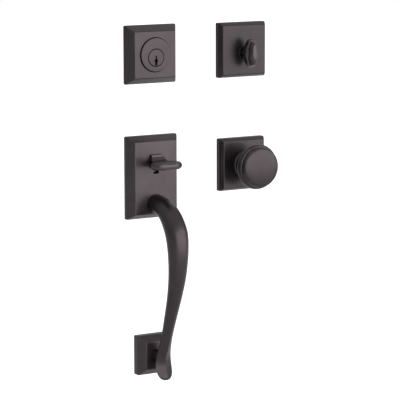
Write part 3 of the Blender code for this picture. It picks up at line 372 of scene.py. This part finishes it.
def link(name, bm, place):
    mesh = bpy.data.meshes.new(name)
    bm.to_mesh(mesh)
    bm.free()
    obj = bpy.data.objects.new(name, mesh)
    obj.location = place
    bpy.context.scene.collection.objects.link(obj)
    return obj


def bake_down(obj):
    """Applies the object's modifiers to its mesh."""
    bpy.context.view_layer.update()
    graph = bpy.context.evaluated_depsgraph_get()
    mesh = bpy.data.meshes.new_from_object(obj.evaluated_get(graph))
    obj.modifiers.clear()
    obj.data = mesh


def combine(obj, bodies, operation="DIFFERENCE"):
    """Cuts closed bodies from the object or joins them on, one after the other."""
    for bm in bodies:
        tool = link("tool", bm, obj.location)
        modifier = obj.modifiers.new("combine", "BOOLEAN")
        modifier.operation = operation
        modifier.solver = "EXACT"
        modifier.object = tool
        bake_down(obj)
        bpy.data.objects.remove(tool, do_unlink=True)


def finish_piece(obj, node, material, sharp=SHARP):
    """Gives the piece its material and lets it ride and stand for its CAD node."""
    obj.data.materials.clear()
    obj.data.materials.append(material)
    obj.data.shade_smooth()
    obj.data.set_sharp_from_angle(angle=sharp)
    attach(obj, body_of[node])
    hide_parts(node)
    dressed.add(node)


def casting(name, place, width, height, edge, rise, slope):
    """Hollow casting with four bevels, and soft edges as it comes from the mould."""
    steep = math.hypot(slope, rise - edge)
    inner_rise = rise - WALL
    inner_slope = (slope * (inner_rise - edge) + WALL * steep) / (rise - edge)
    inner_edge = edge - WALL * (steep - (rise - edge)) / slope
    levels = eased((width, rise), (slope, rise), (0.0, edge))
    levels += eased((slope, rise), (0.0, edge), (0.0, 0.0))
    levels += [(0.0, 0.0), (WALL, 0.0), (WALL, inner_edge), (inner_slope, inner_rise)]
    sections = []
    for inset, out in levels:
        corner = CORNER_ROUND + (FACE_CORNER - CORNER_ROUND) * min(inset / slope, 1.0)
        outline = []
        for turn, (sx, sz) in enumerate(((1, 1), (-1, 1), (-1, -1), (1, -1))):
            centre = (sx * (width / 2 - inset - corner), sz * (height / 2 - inset - corner))
            outline += arc(centre, corner, 90 * turn, 90 * turn + 90, 6)
        sections.append([(x, -out, z) for x, z in outline])
    return link(name, loft(sections), place)


# Shader nodes

def feed(tree, socket, value):
    """Links a socket into the input, or sets the input to a value."""
    if isinstance(value, bpy.types.NodeSocket):
        tree.links.new(value, socket)
    else:
        socket.default_value = value


def add(tree, kind, **values):
    """New shader node, with the named inputs set to values or linked to sockets."""
    node = tree.nodes.new("ShaderNode" + kind)
    for key, value in values.items():
        feed(tree, node.inputs[key.replace("_", " ")], value)
    return node


def calculate(tree, operation, first, second):
    node = add(tree, "Math")
    node.operation = operation
    feed(tree, node.inputs[0], first)
    feed(tree, node.inputs[1], second)
    return node.outputs["Value"]


def mapped(tree, value, source, target):
    """The value taken from the source range to the target range, and kept inside it."""
    node = add(tree, "MapRange", Value=value, From_Min=source[0], From_Max=source[1],
               To_Min=target[0], To_Max=target[1])
    return node.outputs["Result"]


def ramp(tree, factor, stops):
    node = add(tree, "ValToRGB", Fac=factor)
    elements = node.color_ramp.elements
    while len(elements) < len(stops):
        elements.new(0.5)
    for element, (position, colour) in zip(elements, stops):
        element.position = position
        element.color = (*colour, 1.0)
    return node.outputs["Color"]


def add_bump(tree, shader, height, strength, distance):
    bump = add(tree, "Bump", Strength=strength, Distance=distance, Height=height)
    tree.links.new(bump.outputs["Normal"], shader.inputs["Normal"])


def new_material(name):
    material = bpy.data.materials.new(name)
    material.use_nodes = True
    tree = material.node_tree
    return material, tree, tree.nodes["Principled BSDF"]


def scaled(colour, factor):
    return tuple(channel * factor for channel in colour)


# Materials

def bronze(name, painted_shading, shift, rough=(0.30, 0.38)):
    """Dark oil-rubbed bronze: a satin skin, faintly clouded, lighter along its edges as rubbed wear and
    a painted highlight, all scaled by a painted light and shade level.
    """
    material, tree, shader = new_material(name)
    # The level scales the bronze colour up or down: painted light and shade for this piece.
    base = scaled(BRONZE, painted_shading)
    place = add(tree, "TexCoord").outputs["Object"]
    moved = add(tree, "Mapping", Vector=place, Location=(shift, shift * 0.7, -shift)).outputs["Vector"]
    clouds = add(tree, "TexNoise", Vector=moved, Scale=42.0, Detail=5.0, Roughness=0.55).outputs["Fac"]
    stops = [(0.30, scaled(base, 0.86)), (0.52, base), (0.74, scaled(base, 1.14))]
    skin = ramp(tree, clouds, stops)

    bevel = add(tree, "Bevel", Radius=0.0011)
    bevel.samples = 6
    turn = add(tree, "VectorMath")
    turn.operation = "DOT_PRODUCT"
    tree.links.new(bevel.outputs["Normal"], turn.inputs[0])
    tree.links.new(add(tree, "NewGeometry").outputs["Normal"], turn.inputs[1])
    # Edges are lighter where the bevel normal turns away: rubbed wear and a painted highlight.
    worn_and_highlight = mapped(tree, turn.outputs["Value"], (0.995, 0.90), (0.0, 0.25))
    colour = add(tree, "Mix")
    colour.data_type = "RGBA"
    tree.links.new(calculate(tree, "MULTIPLY", worn_and_highlight, clouds), colour.inputs["Factor"])
    tree.links.new(skin, colour.inputs["A"])
    colour.inputs["B"].default_value = (*scaled(RUBBED_AND_HIGHLIGHT, painted_shading), 1.0)
    tree.links.new(colour.outputs["Result"], shader.inputs["Base Color"])

    tree.links.new(mapped(tree, clouds, (0.25, 0.75), rough), shader.inputs["Roughness"])
    grain = add(tree, "TexNoise", Vector=moved, Scale=1500.0, Detail=3.0, Roughness=0.6)
    add_bump(tree, shader, grain.outputs["Fac"], 0.10, 0.00008)
    shader.inputs["Metallic"].default_value = 0.85
    return material


def zinc(name, colour, shift):
    """Zinc-plated steel: pale, faintly mottled and brushed by its tools."""
    material, tree, shader = new_material(name)
    place = add(tree, "TexCoord").outputs["Object"]
    moved = add(tree, "Mapping", Vector=place, Location=(shift, 0.0, shift)).outputs["Vector"]
    mottle = add(tree, "TexNoise", Vector=moved, Scale=120.0, Detail=4.0).outputs["Fac"]
    skin = ramp(tree, mottle, [(0.35, scaled(colour, 0.84)), (0.60, colour)])
    tree.links.new(skin, shader.inputs["Base Color"])
    tree.links.new(mapped(tree, mottle, (0.3, 0.7), (0.28, 0.42)), shader.inputs["Roughness"])
    fine = add(tree, "TexNoise", Vector=moved, Scale=2200.0, Detail=2.0)
    add_bump(tree, shader, fine.outputs["Fac"], 0.12, 0.00005)
    shader.inputs["Metallic"].default_value = 0.92
    return material


# Exterior deadbolt

def keyway(back, front, wider):
    """Cutter for the keyway, which is narrow above its shoulders and widest just above its foot."""
    low = -PLUG_RADIUS + 0.0009
    right = [
        (0.0013 + wider, low),
        (0.0013 + wider, -0.0052 + wider),
        (0.0022 + wider, -0.0042 + wider),
        (0.0022 + wider, -0.0026),
        (0.00075 + wider, -0.0016),
        (0.00075 + wider, 0.0022 + wider),
    ]
    left = [(-x, z) for x, z in reversed(right)]
    outline = filleted(right + left, 0.0004, 3, closed=True)
    return loft([[(x, -out, z) for x, z in outline] for out in (back, front)])


def make_deadbolt():
    skin = bronze("bronze_deadbolt", DEADBOLT_PAINTED_SHADING, 0.10)
    rose = casting("rose_deadbolt", DEADBOLT, DEADBOLT_WIDTH, DEADBOLT_WIDTH,
                   DEADBOLT_EDGE, DEADBOLT_RISE, DEADBOLT_SLOPE)
    combine(rose, [
        rod(COLLAR_RADIUS + RUN, DEADBOLT_RISE - 2 * WALL, DEADBOLT_RISE + CUT_PAST),
        chamfer(COLLAR_RADIUS + RUN, DEADBOLT_RISE, SEAM_CHAMFER),
    ])
    finish_piece(rose, "deadbolt_rose", skin)

    profile = [
        (0, COLLAR_OUT),
        (COLLAR_RADIUS, COLLAR_OUT),
        (COLLAR_RADIUS, PLATE_SEAT),
        (HOUSING_RADIUS, PLATE_SEAT),
        (HOUSING_RADIUS, HOUSING_BACK),
        (0, HOUSING_BACK),
    ]
    housing = link("cylinder_housing", turned(filleted(profile, 0.0005)), DEADBOLT)
    past_back = HOUSING_BACK - CUT_PAST
    cuts = [rod(PLUG_RADIUS + RUN, past_back, COLLAR_OUT + CUT_PAST, z=-PLUG_DROP)]
    for x in (-HOUSING_SCREW_X, HOUSING_SCREW_X):
        cuts.append(rod(HOUSING_SCREW_RADIUS, past_back, HOUSING_SCREW_DEPTH, x=x, count=32))
    cuts.append(chamfer(PLUG_RADIUS + RUN, COLLAR_OUT, SEAM_CHAMFER, -PLUG_DROP))
    combine(housing, cuts)
    finish_piece(housing, "deadbolt_cylinder", skin)

    front = COLLAR_OUT + GAP
    back = HOUSING_BACK - GAP
    tail = back - PLUG_TAIL_LENGTH
    profile = [
        (0, front),
        (PLUG_RADIUS, front),
        (PLUG_RADIUS, back),
        (PLUG_TAIL_RADIUS, back),
        (PLUG_TAIL_RADIUS, tail),
        (0, tail),
    ]
    plug = link("plug", turned(filleted(profile, 0.0006)), PLUG)
    combine(plug, [
        keyway(front - KEYWAY_DEPTH, front + CUT_PAST, 0.0),
        block(-TAIL_SLOT_HALF, TAIL_SLOT_HALF, tail - CUT_PAST, back - TAIL_SLOT_STOP,
              -PLUG_RADIUS, PLUG_RADIUS),
        keyway(front - KEYWAY_MOUTH_DEPTH, front + CUT_PAST / 2, KEYWAY_MOUTH_WIDER),
    ])
    finish_piece(plug, "key_plug", skin)


# Interior trims

def make_interior_rose(name, node, place, width, hole, skin, hole_z=0.0):
    rose = casting(name, place, width, width, ROSE_EDGE, ROSE_RISE, ROSE_SLOPE)
    low = -width / 2
    past = CUT_PAST / 2
    combine(rose, [
        rod(hole, ROSE_RISE - 2 * WALL, ROSE_RISE + CUT_PAST, z=hole_z),
        upright_rod((0, -SET_SCREW_OUT), SET_SCREW_HOLE, low - past, low + WALL + past),
    ])
    finish_piece(rose, node, skin)


def turn_sections():
    """Stem, flare, tapering band, the groove round the pad and the pad's ridged dome."""
    groove, groove_back, groove_front = STEM_RADIUS * 0.82, 0.00195, 0.00315
    shaft, neck, rim = 0.0150, 0.0190, 0.0256
    wide, high = 0.0086, 0.0174
    sections = []
    for radius, out in (
        (STEM_RADIUS, -GAP), (STEM_RADIUS, groove_back), (groove, groove_back),
        (groove, groove_front), (STEM_RADIUS, groove_front), (STEM_RADIUS, shaft), (STEM_RADIUS, neck),
    ):
        sections.append(ellipse(radius, radius, out))
    steps = 22
    for i in range(1, steps + 1):
        t = i / steps
        grow = math.sin(t * math.pi / 2)
        half_width = STEM_RADIUS + (wide - STEM_RADIUS) * grow
        half_height = STEM_RADIUS + (high - STEM_RADIUS) * grow
        sections.append(ellipse(half_width, half_height, neck + (rim - neck) * t ** 1.5))

    front = rim + 0.0052
    edge, dome = front + 0.0034, 0.0038
    outline = [
        (0.0, rim), (0.0010, front), (0.0033, front - 0.0005), (0.0034, edge), (0.0052, edge + 0.0015),
    ]
    rounded = []
    for before, corner, after, reach in zip(outline, outline[1:], outline[2:], (0.0006, 0.0006, 0.0013)):
        rounded += eased(before, corner, after, reach)
    for inset, out in [(0.0003, rim + 0.0016)] + rounded:
        sections.append(ellipse(wide - inset, high - inset, out))

    inset, base = rounded[-1]
    tip = edge + dome
    steps = 20
    for i in range(1, steps):
        angle = math.pi / 2 * i / steps
        half_width = (wide - inset) * math.cos(angle)
        half_height = (high - inset) * math.cos(angle) ** 0.9
        sections.append(ellipse(half_width, half_height, base + (tip - base) * math.sin(angle)))
    sections.append([(0.0, -tip, 0.0)])
    return sections


def make_thumb_turn():
    skin = bronze("bronze_turn_rose", TURN_ROSE_PAINTED_SHADING, 0.35)
    # The turn's bronze is smoother, and painted lighter as light and shade.
    polished_painted_lighter = bronze("bronze_turn", TURN_PAINTED_SHADING, 0.50, TURN_ROUGH)
    make_interior_rose("rose_turn", "turn_rose", TURN_ROSE, TURN_ROSE_WIDTH, TURN_HOLE, skin, -PLUG_DROP)
    profile = [
        (BUSHING_RADIUS, ROSE_RISE + BUSHING_PROUD),
        (BUSHING_RADIUS, ROSE_RISE + GAP),
        (BUSHING_SPIGOT, ROSE_RISE + GAP),
        (BUSHING_SPIGOT, ROSE_RISE - WALL),
        (STEM_RADIUS + RUN, ROSE_RISE - WALL),
        (STEM_RADIUS + RUN, ROSE_RISE + BUSHING_PROUD),
    ]
    ring = link("bushing", turned(filleted(profile, 0.0003, 3, closed=True), closed=True), TURN)
    finish_piece(ring, "turn_bushing", polished_painted_lighter)
    turn = link("turn", loft(turn_sections()), TURN)
    half = STEM_SOCKET_HALF
    combine(turn, [block(-half, half, STEM_SOCKET_BACK, 0.0, -half, half)], "UNION")
    finish_piece(turn, "thumb_turn", polished_painted_lighter)


def knob_profile():
    """Domed face, the groove round it, the rolled rim, the waist and the shank with its groove."""
    rim_out, radius, neck = 0.0406, 0.0276, 0.0118
    face_out, face_radius, dome = 0.0515, 0.0234, 0.0033
    rim_inner, rim_depth = 0.0250, 0.0057
    profile = [(0, face_out + dome)]
    steps = 16
    for i in range(1, steps + 1):
        angle = math.pi / 2 * i / steps
        profile.append((face_radius * math.sin(angle), face_out + dome * math.cos(angle)))
    profile += [
        (face_radius + 0.0004, face_out - 0.0002),
        (face_radius + 0.0007, face_out - 0.0007),
        (face_radius + 0.0011, rim_out + rim_depth + 0.0005),
        (rim_inner - 0.00035, rim_out + rim_depth),
    ]
    steps = 13
    for i in range(steps + 1):
        angle = math.pi / 2 * (1 - i / steps)
        r = rim_inner + (radius - rim_inner) * math.cos(angle)
        profile.append((r, rim_out + rim_depth * math.sin(angle)))
    waist = rim_out - KNOB_COLLAR_FRONT - 0.0035
    steps = 24
    for i in range(1, steps + 1):
        t = i / steps
        fall = 0.5 + 0.5 * math.cos(math.pi * t ** 0.85)
        profile.append((neck + (radius - neck) * fall, rim_out - waist * t))
    groove, groove_back, groove_front = 0.0093, 0.0044, 0.0059
    shoulder = KNOB_COLLAR_FRONT + 2 * GAP
    return profile + [
        (neck, shoulder),
        (SHANK_RADIUS, shoulder),
        (SHANK_RADIUS, groove_front),
        (groove, groove_front),
        (groove, groove_back),
        (SHANK_RADIUS, groove_back),
        (SHANK_RADIUS, PLATE_SEAT),
        (0, PLATE_SEAT),
    ]


def make_knob():
    skin = bronze("bronze_knob", KNOB_PAINTED_SHADING, 0.62)
    make_interior_rose("rose_knob", "knob_rose", KNOB, KNOB_ROSE_WIDTH, KNOB_HOLE, skin)
    rim, spigot, bore, back = 0.0172, 0.0132, SHANK_RADIUS + RUN, 0.0060
    profile = [
        (0.0149, KNOB_COLLAR_FRONT),
        (0.0164, KNOB_COLLAR_FRONT - 0.0008),
        (rim, KNOB_COLLAR_FRONT - 0.0023),
        (rim, ROSE_RISE + GAP),
        (spigot, ROSE_RISE + GAP),
        (spigot, back),
        (bore, back),
        (bore, KNOB_COLLAR_FRONT),
    ]
    collar = link("collar_knob", turned(filleted(profile, 0.0005, 3, closed=True), closed=True), KNOB)
    finish_piece(collar, "knob_collar", skin)
    knob = link("knob_body", turned(knob_profile()), KNOB)
    half = SPINDLE_SOCKET_HALF
    combine(knob, [
        block(-half, half, 0.0, SPINDLE_SOCKET_FRONT, -half, half),
        upright_rod((0, -(KNOB_COLLAR_FRONT + GRUB_AHEAD)), GRUB_HOLE, -0.0158, -0.0038),
    ])
    finish_piece(knob, "interior_knob", skin)


# Exterior handle

def make_handle_plate():
    plate = casting("plate_handle", HANDLE, HANDLE_WIDTH, HANDLE_HEIGHT,
                    HANDLE_EDGE, HANDLE_RISE, HANDLE_SLOPE)
    inside = HANDLE_RISE - WALL
    past_face = HANDLE_RISE + CUT_PAST
    lift = HANDLE_DROP
    grip_z = GRIP_ROOT_Z + lift
    screws = [z + lift for z in BACKPLATE_SCREWS]
    bosses = [rod(BOSS_RADIUS, PLATE_SEAT, inside + WALL / 2, z=z, count=SMALL_ROUND) for z in screws]
    bosses.append(rod(GRIP_BOSS_RADIUS, GRIP_BOSS_BACK, inside + WALL / 2, z=grip_z, count=SMALL_ROUND))
    combine(plate, bosses, "UNION")
    half = SLOT_WIDTH / 2
    cuts = [
        block(-half, half, inside - CUT_PAST, past_face, SLOT_BOTTOM + lift, SLOT_TOP + lift),
        rod(GRIP_BOSS_HOLE, GRIP_BOSS_BACK - CUT_PAST, past_face, z=grip_z, count=SMALL_ROUND),
    ]
    for z in screws:
        cuts.append(rod(BACKPLATE_SCREW_HOLE, 0.0, inside - CUT_PAST / 2, z=z, count=SMALL_ROUND))
    combine(plate, cuts)
    finish_piece(plate, "handle_plate", bronze("bronze_plate", PLATE_PAINTED_SHADING, 0.85))


def grip_stations():
    """Rows of out, z, half width, half depth and ridge, from fractions of the grip's own sizes."""
    upper = [
        (0.00, 0.000, 0.92, 0.85, 0.0),
        (0.17, 0.003, 0.88, 0.82, 0.0),
        (0.38, 0.018, 0.88, 0.85, 0.0),
        (0.60, 0.050, 0.94, 0.91, 0.0),
        (0.79, 0.100, 0.98, 0.96, 0.0),
        (0.94, 0.166, 1.00, 0.97, 0.0),
        (1.00, 0.252, 0.94, 0.92, 0.0),
    ]
    lower = [
        (1.00, 0.349, 0.86, 0.84, 0.0),
        (0.93, 0.452, 0.77, 0.76, 0.0),
        (0.76, 0.576, 0.66, 0.65, 0.05),
        (0.51, 0.712, 0.57, 0.56, 0.15),
        (0.28, 0.836, 0.52, 0.50, 0.3),
        (0.14, 0.923, 0.57, 0.47, 0.6),
        (0.02, 0.993, 0.70, 0.43, 0.9),
        (0.01, 1.052, 0.79, 0.41, 1.0),
        (0.10, 1.104, 0.73, 0.38, 1.0),
        (0.18, 1.134, 0.47, 0.28, 0.7),
        (0.20, 1.145, 0.15, 0.10, 0.2),
    ]
    rows = []
    for base, stations in ((HANDLE_RISE + GAP, upper), (FOOT_RISE + TAIL_RISE, lower)):
        for reach, drop, width, depth, ridge in stations:
            out = base + (GRIP_REACH - base) * reach
            z = GRIP_ROOT_Z + (FOOT_Z - GRIP_ROOT_Z) * drop
            rows.append((out, z, GRIP_HALF_WIDTH * width, GRIP_HALF_WIDTH * depth, ridge))
    return rows


def grip_sections():
    """Ovals across the grip's path. A ridge draws the front of the lower ones to an edge."""
    count = 64
    rows = smooth_path(grip_stations(), 7)
    sections = []
    for i, (out, z, half_width, half_depth, ridge) in enumerate(rows):
        ahead = rows[min(i + 1, len(rows) - 1)]
        behind = rows[max(i - 1, 0)]
        along = Vector((0, -(ahead[0] - behind[0]), ahead[1] - behind[1])).normalized()
        if i == 0:
            along = Vector((0, -1, 0))
        normal = Vector((0, along.z, -along.y))
        centre = Vector((0, -out, z))
        section = []
        for k in range(count):
            angle = 2 * math.pi * k / count
            x = half_width * math.cos(angle)
            depth = math.sin(angle)
            if depth > 0:
                depth = (1 - ridge) * depth + ridge * (1 - abs(math.cos(angle)))
            section.append(centre + Vector((x, 0, 0)) + normal * (half_depth * depth))
        sections.append(section)
    return sections


def make_grip():
    grip = link("grip_casting", loft(grip_sections()), LATCH)
    combine(grip, [rod(POST_RADIUS, FOOT_RISE + GAP, FOOT_RISE + TAIL_RISE, z=FOOT_Z)], "UNION")
    root = HANDLE_RISE + GAP
    combine(grip, [
        rod(GRIP_SCREW_HOLE, root - CUT_PAST, root + GRIP_SCREW_DEPTH, z=GRIP_ROOT_Z, count=SMALL_ROUND),
        rod(STUD_HOLE, FOOT_RISE - CUT_PAST, FOOT_RISE + STUD_DEPTH, z=FOOT_Z, count=SMALL_ROUND),
    ])
    finish_piece(grip, "grip", bronze("bronze_grip", GRIP_PAINTED_SHADING, 0.40))


def make_foot():
    foot = casting("foot_casting", FOOT, FOOT_WIDTH, FOOT_HEIGHT, FOOT_EDGE, FOOT_RISE, FOOT_SLOPE)
    combine(foot, [rod(POST_RADIUS, 0.0, FOOT_RISE - WALL / 2)], "UNION")
    combine(foot, [rod(STUD_HOLE, -CUT_PAST, FOOT_RISE + CUT_PAST, count=SMALL_ROUND)])
    finish_piece(foot, "foot", bronze("bronze_foot", FOOT_PAINTED_SHADING, 0.20))


# Thumb piece

def pad_low(out):
    """Height of the pad's underside, which rises towards the front."""
    return PAD_LOW + PAD_RISE * (out - HANDLE_RISE) / (PAD_REACH - HANDLE_RISE)


def thumb_side():
    """Side of the upright plate, with its fillet down to the pad."""
    corner, heel, low, fillet_out = 0.0010, 0.0014, 0.0042, 0.0270
    outline = arc((STEM_BACK + corner, STEM_TOP - corner), corner, 180, 90, 6)
    outline += arc((STEM_FRONT - corner, STEM_TOP - corner), corner, 90, 0, 6)
    start = Vector((STEM_FRONT, STEM_TOP - corner - 0.0010))
    end = Vector((fillet_out, pad_low(fillet_out) + PAD_THICK - 0.0004))
    turn = Vector((STEM_FRONT + (fillet_out - STEM_FRONT) / 4, end.y))
    outline += bend(start, turn, end, 16)
    outline.append((fillet_out, pad_low(fillet_out) + PAD_THICK / 2))
    outline.append((STEM_FRONT, pad_low(STEM_FRONT) + PAD_THICK / 2))
    outline += arc((STEM_FRONT - corner, low + corner), corner, 0, -90, 6)
    outline += arc((STEM_BACK + heel, low + heel), heel, 270, 180, 6)
    return outline


def thumb_pad():
    """The oval pad, which widens from the plate and has a half-round rim all round."""
    least = 0.004
    start = (STEM_BACK + STEM_FRONT) / 2
    root = STEM_HALF - GAP
    steps, rim_steps = 48, 16
    sections = []
    for i in range(steps + 1):
        out = start + (PAD_REACH - start) * math.sin(math.pi / 2 * i / steps) ** 1.1
        ahead = max(out - PAD_OUT, 0.0) / PAD_DEPTH
        along = min(max(out - STEM_FRONT, 0.0) / (PAD_OUT - STEM_FRONT), 1.0)
        half = root + (PAD_HALF - root) * math.sin(math.pi / 2 * along) ** 1.5
        half *= math.sqrt(max(1.0 - ahead ** 2, least))
        nose = max(1.0 - (PAD_REACH - out) / (PAD_THICK / 2), 0.0)
        rim = PAD_THICK / 2 * math.sqrt(max(1.0 - nose ** 2, least))
        middle = pad_low(out) + PAD_THICK / 2
        section = []
        for side in (1, -1):
            for x, z in arc((side * (half - rim), middle), rim, side * 90 - 180, side * 90, rim_steps):
                section.append((x, -out, z))
        sections.append(section)
    return sections


def thumb_gusset():
    """Level sections of the flare between the upright plate and the pad, from the top down."""
    back = STEM_BACK + 0.0004
    inset, wider, deeper = 0.0003, 0.0030, 0.0062
    top, drop = 0.0202, 0.0060
    steps = 12
    sections = []
    for i in range(steps + 1):
        t = i / steps
        half = STEM_HALF - inset + wider * t ** 1.4
        front = STEM_FRONT - inset + deeper * t ** 1.8
        z = top - drop * t
        sections.append([(half, -back, z), (half, -front, z), (-half, -front, z), (-half, -back, z)])
    return sections


def make_thumb_piece():
    """The lever as one casting: its parts are joined, then its corners flow together."""
    lever = link("thumb_casting", side_prism(thumb_side(), 2 * STEM_HALF), LATCH)
    root = STEM_BACK + 0.0009
    foot_front, foot_end, foot_top, foot_low = -0.0011, 0.0132, -0.0025, -0.0060
    tang = [
        (root, 0.0135),
        (0.0054, 0.0135),
        (0.0032, 0.0091),
        (0.0032, TANG_SHELF),
        (TANG_REAR, TANG_SHELF),
        (TANG_REAR, foot_low),
        (0.0, foot_low),
        (0.0106, -0.0012),
        (0.0106, 0.0062),
        (root, 0.0062),
    ]
    combine(lever, [
        loft(thumb_pad()),
        loft(thumb_gusset()),
        side_prism(tang, TANG_WIDTH),
        block(-TANG_WIDTH / 2, foot_end, TANG_REAR, foot_front, foot_low, foot_top),
    ], "UNION")
    combine(lever, [side_prism(pin_loop(PIVOT, PIVOT_HOLE), 0.04)])
    remesh = lever.modifiers.new("cast", "REMESH")
    remesh.mode = "VOXEL"
    remesh.voxel_size = 0.00034
    smooth = lever.modifiers.new("soft", "CORRECTIVE_SMOOTH")
    smooth.iterations = 6
    smooth.use_only_smooth = True
    bake_down(lever)
    finish_piece(lever, "thumb_piece", bronze("bronze_thumb", THUMB_PAINTED_SHADING, 0.60), sharp=math.radians(60))


def make_thumb_coil(skin):
    """The lever's return spring, with its end turns closer."""
    radius, wire = 0.0023, 0.00045
    turns, steps, sides, closer = 5, 28, 10, 0.7
    height = SPRING_HIGH - SPRING_LOW - 2 * wire
    sections = []
    for i in range(turns * steps + 1):
        t = i / (turns * steps)
        angle = 2 * math.pi * turns * t
        rise = height * (t - closer * math.sin(2 * math.pi * t) / (2 * math.pi))
        section = []
        for k in range(sides):
            around = 2 * math.pi * k / sides
            reach = radius + wire * math.cos(around)
            z = SPRING_LOW + wire + rise + wire * math.sin(around)
            section.append((reach * math.cos(angle), reach * math.sin(angle), z))
        sections.append(section)
    coil = link("thumb_coil", loft(sections), (0, -SPRING_OUT, 0))
    finish_piece(coil, "thumb_spring", skin)
    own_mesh(coil)


# Steel pieces, most of which keep their CAD solids

def dress_steel():
    plates = zinc("zinc_plates", ZINC, 0.2)
    small = zinc("steel_small", BARE, 0.5)
    make_thumb_coil(small)
    for name, node in frame["nodes"].items():
        if name in dressed:
            continue
        material = plates if name.endswith("plate") or name == "latch_housing" else small
        for slot in node.material_slots:
            slot.material = material


# Stage

def towards(azimuth, elevation):
    """Direction from the object to a place at that azimuth and elevation."""
    flat = math.cos(elevation)
    return Vector((math.sin(azimuth) * flat, -math.cos(azimuth) * flat, math.sin(elevation)))


def facing_target(back, distance):
    """Place and turn of a camera or lamp that looks at the target from that direction."""
    look = (-back).to_track_quat("-Z", "Y").to_matrix().to_4x4()
    return Matrix.Translation(TARGET + back * distance) @ look


def make_camera():
    data = bpy.data.cameras.new("camera")
    data.lens = LENS
    data.sensor_width = 36.0
    data.clip_start = 0.05
    data.clip_end = 60.0
    camera = bpy.data.objects.new("camera", data)
    place = facing_target(towards(AZIMUTH, ELEVATION), DISTANCE)
    camera.matrix_world = place @ Matrix.Rotation(ROLL, 4, "Z")
    bpy.context.scene.collection.objects.link(camera)
    bpy.context.scene.camera = camera


def make_lamp(name, azimuth, elevation, distance, width, height, power):
    data = bpy.data.lights.new(name, "AREA")
    data.shape = "RECTANGLE"
    data.size = width
    data.size_y = height
    data.energy = power
    lamp = bpy.data.objects.new(name, data)
    back = towards(math.radians(azimuth), math.radians(elevation))
    lamp.matrix_world = facing_target(back, distance)
    bpy.context.scene.collection.objects.link(lamp)


def seen_rays(tree, share):
    """How much of the white background a ray sees: all of it from the camera and through glass,
    and a share of it by reflection."""
    path = add(tree, "LightPath").outputs
    clear = calculate(tree, "MAXIMUM", path["Is Camera Ray"], path["Is Transmission Ray"])
    return calculate(tree, "MAXIMUM", clear, calculate(tree, "MULTIPLY", path["Is Glossy Ray"], share))


def make_world():
    """White background that reflections see brighter overhead, and that lights at an even level."""
    world = bpy.data.worlds.new("studio")
    bpy.context.scene.world = world
    world.use_nodes = True
    tree = world.node_tree
    direction = add(tree, "TexCoord").outputs["Generated"]
    height = add(tree, "SeparateXYZ", Vector=direction).outputs["Z"]
    seen = seen_rays(tree, mapped(tree, height, (0.2, 0.9), (GLOSS_LEVEL, GLOSS_OVERHEAD)))
    diffuse_ray = add(tree, "LightPath").outputs["Is Diffuse Ray"]
    level = calculate(tree, "MAXIMUM", seen, calculate(tree, "MULTIPLY", diffuse_ray, DIFFUSE_LEVEL))
    background = tree.nodes["Background"]
    background.inputs["Color"].default_value = WHITE
    tree.links.new(level, background.inputs["Strength"])


def make_floor():
    bm = bmesh.new()
    bmesh.ops.create_grid(bm, x_segments=1, y_segments=1, size=FLOOR_HALF)
    floor = link("floor", bm, (0, 0, FLOOR_Z))
    material, tree, shader = new_material("floor")
    shader.inputs["Base Color"].default_value = FLOOR_COLOUR
    shader.inputs["Roughness"].default_value = 0.9
    glow = add(tree, "Emission", Color=WHITE, Strength=seen_rays(tree, GLOSS_LEVEL))
    both = add(tree, "AddShader")
    tree.links.new(shader.outputs["BSDF"], both.inputs[0])
    tree.links.new(glow.outputs["Emission"], both.inputs[1])
    tree.links.new(both.outputs["Shader"], tree.nodes["Material Output"].inputs["Surface"])
    floor.data.materials.append(material)


make_camera()
make_world()
make_lamp("key", azimuth=17, elevation=13, distance=1.9, width=4.9, height=1.6, power=70.0)
make_floor()
make_deadbolt()
make_thumb_turn()
make_knob()
make_handle_plate()
make_thumb_piece()
make_grip()
make_foot()
dress_steel()
bpy.context.scene.view_settings.view_transform = "Standard"
